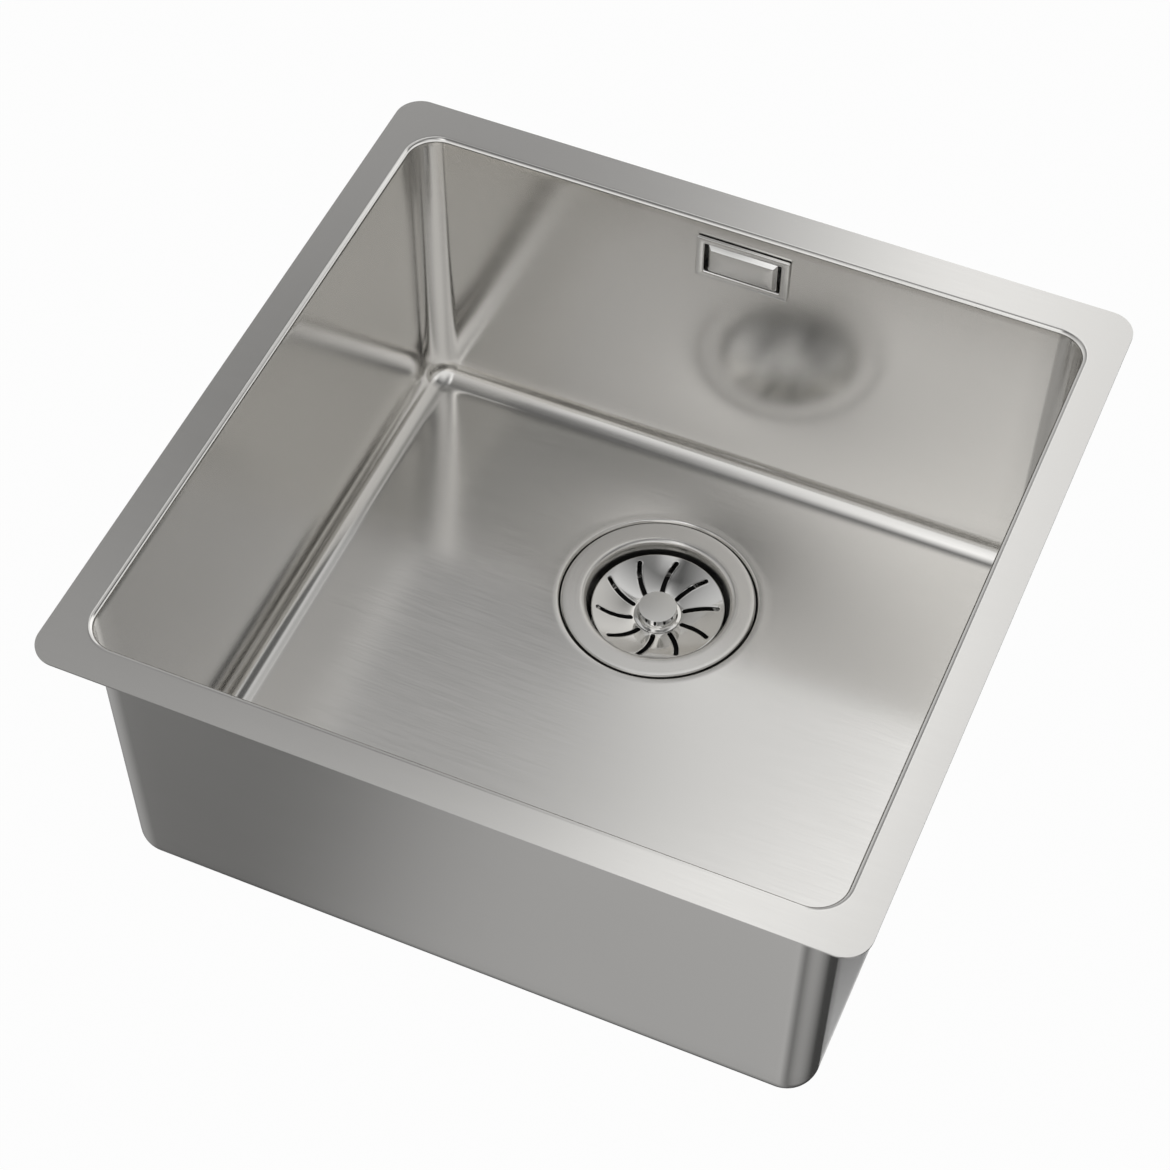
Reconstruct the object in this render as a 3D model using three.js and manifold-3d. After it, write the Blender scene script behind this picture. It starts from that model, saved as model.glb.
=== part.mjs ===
// Undermount kitchen sink: a drawn stainless bowl with a flat rim that is bonded under a worktop,
// a 3 1/2 inch basket strainer waste with a lift-out plug, and an overflow piped to the waste.
//
// Frame, in millimetres: X to the right, Y to the back, Z up. The origin is the centre of the
// rim's outline, in the plane of the rim's top face, which is the face that meets the worktop.
import * as THREE from "three";
import { mergeVertices } from "three/addons/utils/BufferGeometryUtils.js";
import Module from "manifold-3d";

const wasm = await Module();
wasm.setup();

// ---- Driving dimensions -------------------------------------------------------------------

const seat = 0.2; // running gap between faces that rest on each other
const loose = 0.3; // gap between round or cut faces that fit in each other
const past = 1; // how far cutters run past a face, and joined solids into each other
const chamfer = 0.8; // on edges of screws, nuts and the knob

// Bowl
const sheet = 1; // thickness of the steel
const rimWidth = 440; // X
const rimDepth = 440; // Y
const rimCorner = 15; // outer corner radius of the rim
const rimSides = 20.5; // width of the rim, from its edge to the bowl's wall
const rimFront = 20.8;
const rimBack = 25.2;
const bowlHeight = 195.5; // from the rim's top face to the floor's edge
const floorFall = 2.5; // from the floor's edge to the drain
const wallCorner = 17; // radius between two walls
const rimBend = 2.7; // radius where the rim turns down into a wall
const floorFillet = 15; // radius between the walls and the floor
const draft = 1.03; // lean of the walls, in degrees

// Waste fitting
const wasteSetback = 112.3; // the drain's axis, in front of the back wall
const wasteHole = 45; // radius of the hole in the floor
const recessRadius = 58; // floor of the pressed recess round the hole
const recessSlope = 0.9; // how much wider the recess is at the bowl's floor
const recessLand = 4; // width of the level ring round it
const cupDrop = 0.4; // the strainer cup's flange lies this far below the floor round it
const cupFlange = 57; // radius
const cupFlangeInner = 46; // radius where the flange starts to turn down
const cupBend = 3.5; // radius of that turn
const cupSheet = 0.8;
const cupDepth = 28; // from the flange's top to the cup's floor
const cupTaper = 1.3; // how much the cup narrows on its way down
const cupHeel = 4; // radius between the cup's wall and floor
const cupHoles = 8;
const cupHoleRadius = 4.5;
const cupHoleCircle = 21; // radius of the circle of drain holes
const flangeGasket = 0.9; // thickness
const bodyGasket = 4; // thickness
const bodyGasketWidth = 8;

// Lift-out strainer plug
const dishRadius = 39.6;
const dishDrop = 8.3; // dish rim below the cup's flange
const dishSink = 7.9; // dish hub below the dish rim
const dishHub = 14.2; // radius of the flat hub
const dishSheet = 0.8;
const dishLip = 1.6; // height of the turned-down edge
const slots = 10;
const slotWidth = 2.5;
const slotInner = 16.2; // the slots run from this radius
const slotOuter = 35.2; // to this one
const slotSweep = 9; // degrees that a slot turns back on its way out
const slotStart = 31; // direction of the first slot's inner end, in degrees
const knobRadius = 11.4;
const knobHeight = 7.9;
const knobFoot = 14.1; // radius of the thin foot on the hub
const knobFootHeight = 0.5;
const stemRadius = 12;
const stemGroove = 9.5; // radius of the groove that holds the seal
const stemFoot = 11.5; // radius of the flange below the seal
const stemFootHeight = 3;
const sealThickness = 2.2;
const sealRadius = 36.5;
const sealLip = 2; // width of the lip's foot

// Fasteners
const clampRadius = 4; // M8 centre screw
const clampHead = 7;
const clampHeadHeight = 3.6;
const clampLength = 18; // below the cup's floor
const coinSlotWidth = 1.6;
const coinSlotDepth = 1.8;
const stemScrew = 2; // M4 screw that joins knob, dish and stem
const stemScrewHead = 3.8;
const stemScrewHeadHeight = 2.2;
const stemScrewGrip = 5; // length inside the knob
const crossWidth = 4.4; // of the cross in its head
const crossBar = 0.9;
const crossDepth = 1.2;
const insertRadius = 6.4; // brass hexagon in the waste body, over its corners
const insertHeight = 9;

// Waste body
const bodyInner = 45; // radius inside the cup-shaped part
const bodyWall = 2.8;
const bodyRim = 55; // radius of the rim under the gasket
const bodyRimHeight = 3.5;
const bodyRimRoot = 6; // height of the slope under the rim
const bodyDepth = 54; // from the cup flange's top to the body's open end
const tailRing = 6.5; // height of the tail's ring inside that end
const tailCone = 5; // fall of the tail's floor to the outlet
const outletRadius = 23.9; // G 1 1/2 pipe thread, over its crests
const outletBore = 19.5;
const outletLength = 28;
const bossRadius = 11;
const bossTop = 31; // below the cup flange's top
const bossBottom = 46;
const spiderRibs = 3;
const ribThickness = 4;
const ribStep = 2; // the ribs' tops, below the boss's
const inletDrop = 38.5; // the overflow inlet's axis, below the cup flange's top

// Overflow pipe and its two unions
const pipeRadius = 10;
const pipeBore = 8.5;
const pipeBend = 32; // radius of the pipe's bend, at its axis
const pipeInsert = 13; // length inside a spigot
const spigotRadius = 13;
const spigotLength = 24;
const nutWall = 3.2;
const nutHeight = 15;
const nutFlutes = 12;
const fluteRadius = 1.6;
const fluteDepth = 0.9;
const unionSeal = 3; // thickness of the wedge ring
const unionSealEdge = 1; // the straight part of that
const spigotCollar = 1.2; // how far the collar at its root stands out

// Overflow
const overflowDrop = 26; // its centre below the rim's top face
const frameWidth = 56;
const frameHeight = 30;
const frameThickness = 1.6;
const frameCorner = 1;
const throatWidth = 46;
const throatHeight = 21.5;
const throatWall = 1;
const throatCorner = 1; // radius
const throatLength = 10; // from the frame's back face
const cutoutGap = 0.4; // round the throat, in the bowl's wall
const coverWidth = 41.8;
const coverHeight = 20;
const coverBevel = 2.2;
const coverProud = 1.1; // the cover's face, in front of the frame's
const coverSheet = 0.8;
const coverCorner = 0.6;
const tongueX = 13; // the cover's tongues, from its middle
const tongueWidth = 6;
const tongueThickness = 1;
const tongueReach = 7; // behind the frame's back face
const tongueBow = 3; // length of the bowed end
const barWidth = 11; // the bar across the throat that the screw clamps
const barThickness = 2;
const barDepth = 3.4; // its front face, behind the frame's back face
const overflowGasket = 2.6;
const housingMargin = 6.5; // the housing's flange outside the throat
const housingCorner = 3;
const housingFlange = 3;
const housingWall = 2.2;
const housingDepth = 27; // from the bowl's wall to the back of the housing
const outletSetback = 18.3; // the housing's outlet axis behind the bowl's wall
const lugRadius = 5;
const lugLength = 8;
const overflowScrew = 2.5; // M5
const overflowScrewHead = 4.4;
const overflowScrewHeadHeight = 2.4;
const screwSlot = 1.1; // width and depth of the slot in its head
const overflowInsert = 3.6; // radius of the brass insert in the lug

// Damping pad under the floor
const padWidth = 300;
const padDepth = 150;
const padThickness = 2.5;
const padCorner = 20;
const padSetback = 22; // its back edge, in front of the recess

// Facets
const cornerSteps = 5;
const edgeSteps = 6; // of the bowl's straight edges
const filletSteps = 4;
const bendSteps = 3;
const roundSteps = 40; // of the round pieces in the bowl
const hiddenSteps = 28; // of the large ones below it
const smallSteps = 18;
const pipeBendSteps = 10;
const slopeSteps = 4;
const slotSteps = 4;

// ---- Derived places -------------------------------------------------------------------------

const bowlWidth = rimWidth - 2 * rimSides; // between the side walls, at the top
const bowlDepth = rimDepth - rimFront - rimBack; // between the front and back walls, at the top
const bowlShift = (rimFront - rimBack) / 2; // the bowl's centre lies this far along Y from the rim's
const lean = Math.tan(THREE.MathUtils.degToRad(draft));
const floorLow = -(bowlHeight + floorFall); // Z of the floor at the drain
const cupTop = floorLow - cupDrop; // Z of the strainer cup's flange
const recessFloor = -(cupSheet + seat + flangeGasket + seat); // below cupTop, as are the next ones
const recessUnder = recessFloor - sheet;
const bodyTop = recessUnder - seat - bodyGasket - seat;
const cupWall = cupFlangeInner - cupBend;
const dishEdge = dishRadius - dishLip / 2; // radius where the slope starts
const dishHubTop = -(dishDrop + dishSink);
const dishHubUnder = dishHubTop - dishSheet;
const stemTop = dishHubUnder - seat;
const stemBottom = -cupDepth + seat;
const grooveBottom = stemBottom + stemFootHeight;
const grooveTop = grooveBottom + sealThickness + 2 * seat;
const socketTop = stemBottom + clampHeadHeight + stemScrewHeadHeight + 2 * loose;
const clampTop = -cupDepth + seat + clampHeadHeight;
const tailTop = -(bodyDepth + seat);
const outletTop = -(bodyDepth + tailCone);
const outletEnd = outletTop - outletLength;
const backWall = rimDepth / 2 - rimBack; // Y of the back wall's inner face, at the top
const wasteY = backWall - wasteSetback;
const overflowY = backWall - lean * overflowDrop + sheet; // rear face of the wall at the overflow
const wallTilt = (lean * frameHeight) / 2; // how far the wall leaves an upright frame, top to middle
const frameBack = -(sheet + wallTilt + seat);
const frameFront = frameBack - frameThickness;
const coverEdge = frameBack; // the rim of the pressed cover reaches back to here
const gasketFront = wallTilt + seat;
const housingFront = gasketFront + overflowGasket + seat;
const pipeY = overflowY + outletSetback;
const pipeZ = cupTop - inletDrop;

// ---- Materials ------------------------------------------------------------------------------

const finish = (color, roughness, metalness) =>
  new THREE.MeshStandardMaterial({ color, roughness, metalness });
const brushedSteel = finish(0xb9b8b3, 0.34, 1);
const satinSteel = finish(0xc2c1bd, 0.26, 1);
const polishedSteel = finish(0xcfcecb, 0.14, 1);
const screwSteel = finish(0xbdbdba, 0.25, 1);
const brass = finish(0xc9a45a, 0.3, 1);
const rubber = finish(0x1e1f20, 0.8, 0);
const polypropylene = finish(0xd9dad7, 0.5, 0);
const nylon = finish(0xe6e4dc, 0.45, 0);
const dampingFelt = finish(0x3a3b3c, 0.9, 0);

// ---- Solids ---------------------------------------------------------------------------------

// A closed geometry as a solid that can be joined and cut.
function solid(geometry) {
  const bare = new THREE.BufferGeometry();
  bare.setAttribute("position", geometry.getAttribute("position"));
  if (geometry.index) bare.setIndex(geometry.index);
  const merged = mergeVertices(bare, 1e-4);
  const vertProperties = new Float32Array(merged.getAttribute("position").array);
  const triVerts = new Uint32Array(merged.index.array);
  return new wasm.Manifold(new wasm.Mesh({ numProp: 3, vertProperties, triVerts }));
}

// A solid as a named mesh, placed where the caller says.
function piece(name, shape, material, position = [0, 0, 0]) {
  const { vertProperties, triVerts } = shape.getMesh();
  const geometry = new THREE.BufferGeometry();
  geometry.setAttribute("position", new THREE.BufferAttribute(vertProperties, 3));
  geometry.setIndex(new THREE.BufferAttribute(triVerts, 1));
  geometry.computeVertexNormals();
  const mesh = new THREE.Mesh(geometry, material);
  mesh.name = name;
  mesh.position.set(...position);
  return mesh;
}

const signedArea = (points) =>
  points.reduce((sum, [x, y], i) => {
    const [u, v] = points[(i + 1) % points.length];
    return sum + (x * v - u * y) / 2;
  }, 0);

// A profile of [radius, z] pairs turned round Z. It closes on itself, or starts and ends on the axis.
function turned(profile, steps = roundSteps) {
  const points = signedArea(profile) > 0 ? profile : [...profile].reverse();
  const closed = points.every(([r]) => r > 0) ? [...points, points[0]] : points;
  const lathe = new THREE.LatheGeometry(
    closed.map(([r, z]) => new THREE.Vector2(r, z)),
    steps,
  );
  return solid(lathe.rotateX(Math.PI / 2));
}

// A turned ring with a rectangular section.
const ring = (inner, outer, low, high, steps) =>
  turned([[inner, low], [outer, low], [outer, high], [inner, high]], steps);

// A turned disc or rod.
const rod = (radius, low, high, steps = smallSteps) =>
  turned([[0, low], [radius, low], [radius, high], [0, high]], steps);

// Points of an arc of [u, v] pairs, from one angle to another, in degrees.
const arc = (u, v, radius, from, to, steps) =>
  Array.from({ length: steps + 1 }, (_, i) => {
    const angle = THREE.MathUtils.degToRad(from + ((to - from) * i) / steps);
    return [u + radius * Math.cos(angle), v + radius * Math.sin(angle)];
  });

// An open line of [u, v] pairs, given a thickness on its right-hand side.
function thickened(line, thickness) {
  const offset = line.map(([u, v], i) => {
    const [a, b] = [line[Math.max(i - 1, 0)], line[Math.min(i + 1, line.length - 1)]];
    const length = Math.hypot(b[0] - a[0], b[1] - a[1]);
    return [u + ((b[1] - a[1]) / length) * thickness, v - ((b[0] - a[0]) / length) * thickness];
  });
  return [...line, ...offset.reverse()];
}

// A closed outline of [x, y] pairs extruded from one height to another.
function extruded(outline, low, high) {
  const shape = new THREE.Shape(outline.map(([x, y]) => new THREE.Vector2(x, y)));
  const options = { depth: high - low, bevelEnabled: false };
  return solid(new THREE.ExtrudeGeometry(shape, options).translate(0, 0, low));
}

// An outline of a rectangle with round corners, as [x, y] pairs, its straight edges in steps too.
function roundedRectangle(width, depth, radius, steps = cornerSteps, edgeSteps = 1) {
  const [x, y] = [width / 2 - radius, depth / 2 - radius];
  const corners = [[x, y], [-x, y], [-x, -y], [x, -y]].map(([u, v], i) =>
    arc(u, v, radius, 90 * i, 90 * i + 90, steps),
  );
  return corners.flatMap((corner, i) => {
    const [[fromX, fromY], [toX, toY]] = [corner.at(-1), corners[(i + 1) % 4][0]];
    const between = Array.from({ length: edgeSteps - 1 }, (_, k) => {
      const share = (k + 1) / edgeSteps;
      return [fromX + (toX - fromX) * share, fromY + (toY - fromY) * share];
    });
    return [...corner, ...between];
  });
}

const box = (width, depth, low, high) =>
  solid(
    new THREE.BoxGeometry(width, depth, high - low).translate(0, 0, (low + high) / 2),
  );

// Loops of equally many points joined one to the next. Each end is closed by a fan of faces from
// its centre, the first facing away from the second loop.
function lofted(loops, firstCentre, lastCentre) {
  const count = loops[0].length;
  const positions = [...loops.flat(2), ...firstCentre, ...lastCentre];
  const [first, last] = [loops.length * count, loops.length * count + 1];
  const index = [];
  for (let i = 0; i < count; i++) {
    const next = (i + 1) % count;
    index.push(first, next, i);
    for (let k = 0; k + 1 < loops.length; k++) {
      const [a, b] = [k * count + i, k * count + next];
      index.push(a, b, b + count, a, b + count, a + count);
    }
    index.push(last, last - 1 - count + i, last - 1 - count + next);
  }
  const geometry = new THREE.BufferGeometry();
  geometry.setAttribute("position", new THREE.Float32BufferAttribute(positions, 3));
  geometry.setIndex(index);
  return solid(geometry);
}

const around = (count, make) =>
  Array.from({ length: count }, (_, i) => make((360 * i) / count, i));

const joined = (shapes) => shapes.reduce((all, shape) => all.add(shape));

const without = (shape, cutters) => cutters.reduce((left, cutter) => left.subtract(cutter), shape);

// ---- Bowl -----------------------------------------------------------------------------------

// One level of the bowl: the wall's outline at a height, moved outwards by `out`.
function wallLoop(out, z) {
  const drawnIn = lean * Math.min(-z, bowlHeight - floorFillet);
  const [width, depth] = [bowlWidth, bowlDepth].map((size) => size + 2 * (out - drawnIn));
  const outline = roundedRectangle(width, depth, wallCorner + out, cornerSteps, edgeSteps);
  return outline.map(([x, y]) => [x, y + bowlShift, z]);
}

function rimLoop(z) {
  const outline = roundedRectangle(rimWidth, rimDepth, rimCorner, cornerSteps, edgeSteps);
  return outline.map(([x, y]) => [x, y, z]);
}

// A level ring round the drain, whose points face those of the floor's outline.
const drainLoop = (z) =>
  wallLoop(-floorFillet, -bowlHeight).map(([x, y]) => {
    const reach = (recessRadius + recessSlope + recessLand) / Math.hypot(x, y - wasteY);
    return [x * reach, wasteY + (y - wasteY) * reach, z];
  });

// One face of the bent sheet, from the drain up to the rim's edge: `out` is 0 for the inside.
function bowlFace(out) {
  const fillet = arc(-floorFillet, floorFillet, floorFillet + out, 270, 360, filletSteps);
  const bend = arc(rimBend, -rimBend, rimBend - out, 180, 90, bendSteps);
  return [
    drainLoop(floorLow - out),
    ...fillet.map(([u, v]) => wallLoop(u, v - bowlHeight)),
    ...bend.map(([u, v]) => wallLoop(u, v)),
    rimLoop(-out),
  ];
}

// The pressed recess round the drain: its pan, or with `inside` the space in the pan.
function recess(inside) {
  const [wall, mouth, top] = inside ? [0, 0, sheet] : [sheet, -sheet, -sheet / 2];
  const low = recessFloor + cupTop - wall;
  return turned([
    [0, low],
    [recessRadius + wall, low],
    [recessRadius + recessSlope + wall, floorLow + mouth],
    [recessRadius + recessSlope + wall, floorLow + top],
    [0, floorLow + top],
  ]).translate([0, wasteY, 0]);
}

function bowl() {
  const shell = lofted(
    [...bowlFace(sheet), ...bowlFace(0).reverse()],
    [0, wasteY, floorLow - sheet],
    [0, wasteY, floorLow],
  );
  const drainHole = rod(wasteHole, floorLow - 10 * sheet, floorLow + sheet, roundSteps);
  const cutout = throatBlock(throatWall + cutoutGap, -2 * sheet - wallTilt, sheet + wallTilt);
  return shell
    .add(recess(false))
    .subtract(recess(true))
    .subtract(drainHole.translate([0, wasteY, 0]))
    .subtract(cutout.translate([0, overflowY, -overflowDrop]));
}

// A block along Y with the overflow throat's outline grown by a margin.
const throatBlock = (margin, front, back) =>
  extruded(
    roundedRectangle(
      throatWidth + 2 * margin,
      throatHeight + 2 * margin,
      throatCorner + margin,
      bendSteps,
    ),
    -back,
    -front,
  ).rotate([90, 0, 0]);

// ---- Waste fitting --------------------------------------------------------------------------

function strainerCup() {
  const face = [
    [cupFlange, 0],
    ...arc(cupFlangeInner, -cupBend, cupBend, 90, 180, bendSteps),
    ...arc(cupWall - cupTaper - cupHeel, cupHeel - cupDepth, cupHeel, 0, -90, 2),
    [clampRadius + loose, -cupDepth],
  ];
  const holes = around(cupHoles, (turn) =>
    rod(cupHoleRadius, -cupDepth - 2 * cupSheet, cupSheet - cupDepth, 12)
      .translate([cupHoleCircle, 0, 0])
      .rotate([0, 0, turn + 180 / cupHoles]),
  );
  return without(turned(thickened([...face].reverse(), cupSheet)), holes);
}

const flangeGasketRing = () => {
  const top = -cupSheet - seat;
  return ring(cupFlangeInner + loose, cupFlange - 1, top - flangeGasket, top, hiddenSteps);
};

// The body's gasket tapers towards the steel, so that it squeezes flat as the screw pulls up.
function bodyGasketRing() {
  const [top, inner] = [recessUnder - seat, wasteHole + 1.5];
  const outer = inner + bodyGasketWidth;
  const profile = [
    [inner, top - bodyGasket],
    [outer, top - bodyGasket],
    [outer, top - bodyGasket / 2],
    [outer - bodyGasketWidth / 4, top],
    [inner + bodyGasketWidth / 4, top],
    [inner, top - bodyGasket / 2],
  ];
  return turned(profile, hiddenSteps);
}

// The waste's body: a cup with a clamping rim, the overflow's inlet, and ribs that carry a boss.
function wasteBody() {
  const wall = bodyInner + bodyWall;
  const shell = turned(
    [
      [bodyInner, bodyTop],
      [bodyRim, bodyTop],
      [bodyRim, bodyTop - bodyRimHeight],
      [wall, bodyTop - bodyRimHeight - bodyRimRoot],
      [wall, -bodyDepth],
      [bodyInner, -bodyDepth],
    ],
    hiddenSteps,
  );
  const alongInlet = (shape, start) =>
    shape.rotate([-90, 0, 0]).translate([0, start, -inletDrop]);
  const inlet = alongInlet(spigot(), inletReach() - spigotLength);
  const inletBore = alongInlet(rod(pipeBore, 0, inletReach()), 0);
  const socketDepth = pipeInsert + loose;
  const socket = alongInlet(rod(pipeRadius + loose, 0, socketDepth), inletReach() - socketDepth);
  const hollow = rod(bodyInner, -bodyDepth, bodyTop, hiddenSteps);
  const boss = rod(bossRadius, -bossBottom, -bossTop);
  const ribStart = bossRadius / 2;
  const ribEnd = bodyInner + bodyWall / 2;
  const rib = box(ribEnd - ribStart, ribThickness, -bossBottom, -bossTop - ribStep);
  const spider = around(spiderRibs, (turn) =>
    rib.translate([(ribStart + ribEnd) / 2, 0, 0]).rotate([0, 0, turn - 90]),
  );
  const pocket = rod(insertRadius + loose, -bossBottom - past, insertTop() + seat, 6);
  const screwWay = rod(clampRadius + loose, -bossBottom, -bossTop + past);
  return joined([shell, inlet.subtract(hollow), boss, ...spider])
    .subtract(inletBore.subtract(boss))
    .subtract(socket)
    .subtract(pocket)
    .subtract(screwWay);
}

// The tail: a ring that fits the body's open end, a shallow cone, and the threaded outlet.
function wasteTail() {
  const ringOuter = bodyInner - loose;
  const edge = bodyInner + bodyWall;
  const profile = [
    [ringOuter - bodyWall, tailTop + tailRing],
    [ringOuter, tailTop + tailRing],
    [ringOuter, tailTop],
    [edge, tailTop],
    [edge, tailTop - bodyWall],
    [outletRadius + bodyWall, outletTop - bodyWall],
    [outletRadius, outletTop - bodyWall],
    [outletRadius, outletEnd],
    [outletBore, outletEnd],
    [outletBore, outletTop],
    [ringOuter - bodyWall, tailTop],
  ];
  return turned(profile, hiddenSteps);
}

// The spigots' outer end, from the drain's axis.
const inletReach = () => bodyInner + bodyWall + spigotLength;

const insertTop = () => insertHeight - bossBottom;

// A spigot along Z, from 0 up to its mouth, with a collar at its root.
const spigot = () =>
  rod(spigotRadius, -bodyWall, spigotLength).add(
    rod(spigotRadius + spigotCollar, -bodyWall, spigotLength - nutHeight - past),
  );

const brassHexagon = () =>
  rod(insertRadius, seat - bossBottom, insertTop(), 6).subtract(
    rod(clampRadius + loose, -bossBottom, -bossTop),
  );

function clampScrew() {
  const [under, shank] = [-cupDepth + seat, -cupDepth - clampLength];
  const body = turned(
    [
      [0, shank],
      [clampRadius - chamfer, shank],
      [clampRadius, shank + chamfer],
      [clampRadius, under],
      [clampHead, under],
      [clampHead, clampTop - chamfer],
      [clampHead - chamfer, clampTop],
      [0, clampTop],
    ],
    smallSteps,
  );
  const slotFloor = clampTop - coinSlotDepth;
  const coinSlot = box(2 * (clampHead + past), coinSlotWidth, slotFloor, clampTop + past);
  return body.subtract(coinSlot);
}

// ---- Lift-out strainer plug -------------------------------------------------------------------

// Height of the dish's top face at a radius: a shallow bowl that flattens towards the hub.
const dishHeight = (radius) => {
  const share = Math.max(0, (radius - dishHub) / (dishEdge - dishHub));
  return dishHubTop + dishSink * share ** 1.35;
};

// A slot's outline: its middle line turns back as it runs out, and its ends are round.
function slotOutline() {
  const middle = Array.from({ length: slotSteps + 1 }, (_, i) => {
    const share = i / slotSteps;
    const radius = slotInner + (slotOuter - slotInner) * share;
    const angle = THREE.MathUtils.degToRad(slotStart - slotSweep * share ** 1.6);
    return [radius * Math.cos(angle), radius * Math.sin(angle)];
  });
  const side = (distance) => {
    const both = thickened(middle, distance);
    return both.slice(middle.length).reverse();
  };
  const cap = ([x, y], [fromX, fromY]) => {
    const start = THREE.MathUtils.radToDeg(Math.atan2(fromY - y, fromX - x));
    return arc(x, y, slotWidth / 2, start, start + 180, 3).slice(1, -1);
  };
  const [right, left] = [side(slotWidth / 2), side(-slotWidth / 2)];
  return [
    ...right,
    ...cap(middle.at(-1), right.at(-1)),
    ...left.reverse(),
    ...cap(middle[0], left.at(-1)),
  ];
}

function strainerDish() {
  const slope = Array.from({ length: slopeSteps + 1 }, (_, i) => {
    const radius = dishEdge - ((dishEdge - dishHub) * i) / slopeSteps;
    return [radius, dishHeight(radius)];
  });
  const face = [
    [dishRadius, -dishDrop - dishLip],
    [dishRadius, -dishDrop - dishLip / 3],
    ...slope,
    [stemScrew + loose, dishHubTop],
  ];
  const body = turned(thickened([...face].reverse(), dishSheet));
  const cutter = extruded(slotOutline(), dishHubUnder - past, past - dishDrop);
  const cutters = around(slots, (turn) => cutter.rotate([0, 0, turn]));
  return without(body, cutters);
}

function knob() {
  const foot = dishHubTop + seat;
  const top = foot + knobHeight - seat;
  const body = turned(
    [
      [0, foot],
      [knobFoot, foot],
      [knobFoot, foot + knobFootHeight],
      [knobRadius + chamfer, foot + knobFootHeight + chamfer / 3],
      [knobRadius, foot + knobFootHeight + 1.5 * chamfer],
      [knobRadius, top - chamfer],
      [knobRadius - chamfer / 4, top - chamfer / 4],
      [knobRadius - chamfer, top],
      [0, top],
    ],
    roundSteps,
  );
  return body.subtract(rod(stemScrew + loose, foot - past, foot + stemScrewGrip + loose));
}

function plugStem() {
  const body = turned(
    [
      [0, stemBottom],
      [stemFoot, stemBottom],
      [stemFoot, grooveBottom],
      [stemGroove, grooveBottom],
      [stemGroove, grooveTop],
      [stemRadius, grooveTop],
      [stemRadius, stemTop],
      [0, stemTop],
    ],
    smallSteps,
  );
  const socket = rod(clampHead + loose, stemBottom - past, socketTop);
  return body.subtract(socket).subtract(rod(stemScrew + loose, socketTop - past, stemTop + past));
}

// The plug's seal: a disc in the stem's groove, with a lip that meets the cup's floor.
function plugSeal() {
  const [low, high] = [grooveBottom + seat, grooveTop - seat];
  const profile = [
    [stemGroove + loose, low],
    [sealRadius - 2 * sealLip, low],
    [sealRadius - sealLip, stemBottom],
    [sealRadius, stemBottom],
    [sealRadius - sealLip, high],
    [stemGroove + loose, high],
  ];
  return turned(profile, hiddenSteps);
}

function stemScrewBody() {
  const head = socketTop - seat;
  const tip = dishHubTop + seat + stemScrewGrip;
  const body = turned(
    [
      [0, head - stemScrewHeadHeight],
      [stemScrewHead - chamfer, head - stemScrewHeadHeight],
      [stemScrewHead, head - stemScrewHeadHeight + chamfer],
      [stemScrewHead, head],
      [stemScrew, head],
      [stemScrew, tip - chamfer],
      [stemScrew - chamfer, tip],
      [0, tip],
    ],
    smallSteps,
  );
  const low = head - stemScrewHeadHeight;
  const bar = (width, depth) => box(width, depth, low - past, low + crossDepth);
  return body.subtract(bar(crossWidth, crossBar)).subtract(bar(crossBar, crossWidth));
}

// ---- Overflow ---------------------------------------------------------------------------------
// These pieces are made round the throat's axis, with Y = 0 on the rear face of the bowl's wall.

const slab = (width, height, radius, front, back) =>
  extruded(roundedRectangle(width, height, radius, 4), -back, -front).rotate([90, 0, 0]);

const rodY = (radius, front, back, steps = smallSteps) =>
  rod(radius, -back, -front, steps).rotate([90, 0, 0]);

function overflowFrame() {
  const end = frameBack + throatLength;
  const plate = slab(frameWidth, frameHeight, frameCorner, frameFront, frameBack);
  const sleeve = throatBlock(throatWall, frameBack - frameThickness / 2, end);
  const barHalf = (throatHeight + throatWall) / 2;
  const bar = box(barWidth, barThickness, -barHalf, barHalf);
  const barMiddle = frameBack + barDepth + barThickness / 2;
  return plate
    .add(sleeve)
    .subtract(throatBlock(0, frameFront - past, end + past))
    .add(bar.translate([0, barMiddle, 0]))
    .subtract(rodY(overflowScrew + loose, barMiddle - barThickness, barMiddle + barThickness));
}

// One face of the pressed cover, as its outlines from the edge up to the flat.
function coverFace(inset) {
  const face = frameFront - coverProud + inset;
  const edge = face + coverBevel;
  const level = (shrink, y) => {
    const [width, height] = [coverWidth, coverHeight].map((size) => size - 2 * (shrink + inset));
    return roundedRectangle(width, height, coverCorner, 2).map(([x, z]) => [x, y, z]);
  };
  return [level(0, coverEdge), level(0, edge), level(coverBevel, face)];
}

function overflowCover() {
  const face = frameFront - coverProud;
  const pan = lofted(
    [...coverFace(coverSheet).reverse(), ...coverFace(0)],
    [0, face + coverSheet, 0],
    [0, face, 0],
  );
  const tongues = [-1, 1].flatMap((side) => [
    coverTongue().translate([side * tongueX, 0, 0]),
    coverTongue().rotate([0, 180, 0]).translate([side * tongueX, 0, 0]),
  ]);
  return joined([pan, ...tongues]);
}

// A tongue behind the cover's rim, bowed at its end so that it grips the throat's upper wall.
function coverTongue() {
  const [front, back] = [frameFront - coverProud + coverBevel, frameBack + tongueReach];
  const top = coverHeight / 2 - coverSheet / 4;
  const outline = [
    [front, top - tongueThickness],
    [back, top - tongueThickness],
    [back, top],
    [back - tongueBow / 2, throatHeight / 2 - loose],
    [back - tongueBow, top],
    [front, top],
  ];
  return extruded(outline, -tongueWidth / 2, tongueWidth / 2).rotate([90, 0, 90]);
}

const overflowGasketRing = () => {
  const back = gasketFront + overflowGasket;
  const [width, height] = [throatWidth + 2 * housingMargin, throatHeight + 2 * housingMargin];
  const outer = slab(width - loose, height - loose, housingCorner, gasketFront, back);
  return outer.subtract(throatBlock(throatWall + loose, gasketFront - past, back + past));
};

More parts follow.
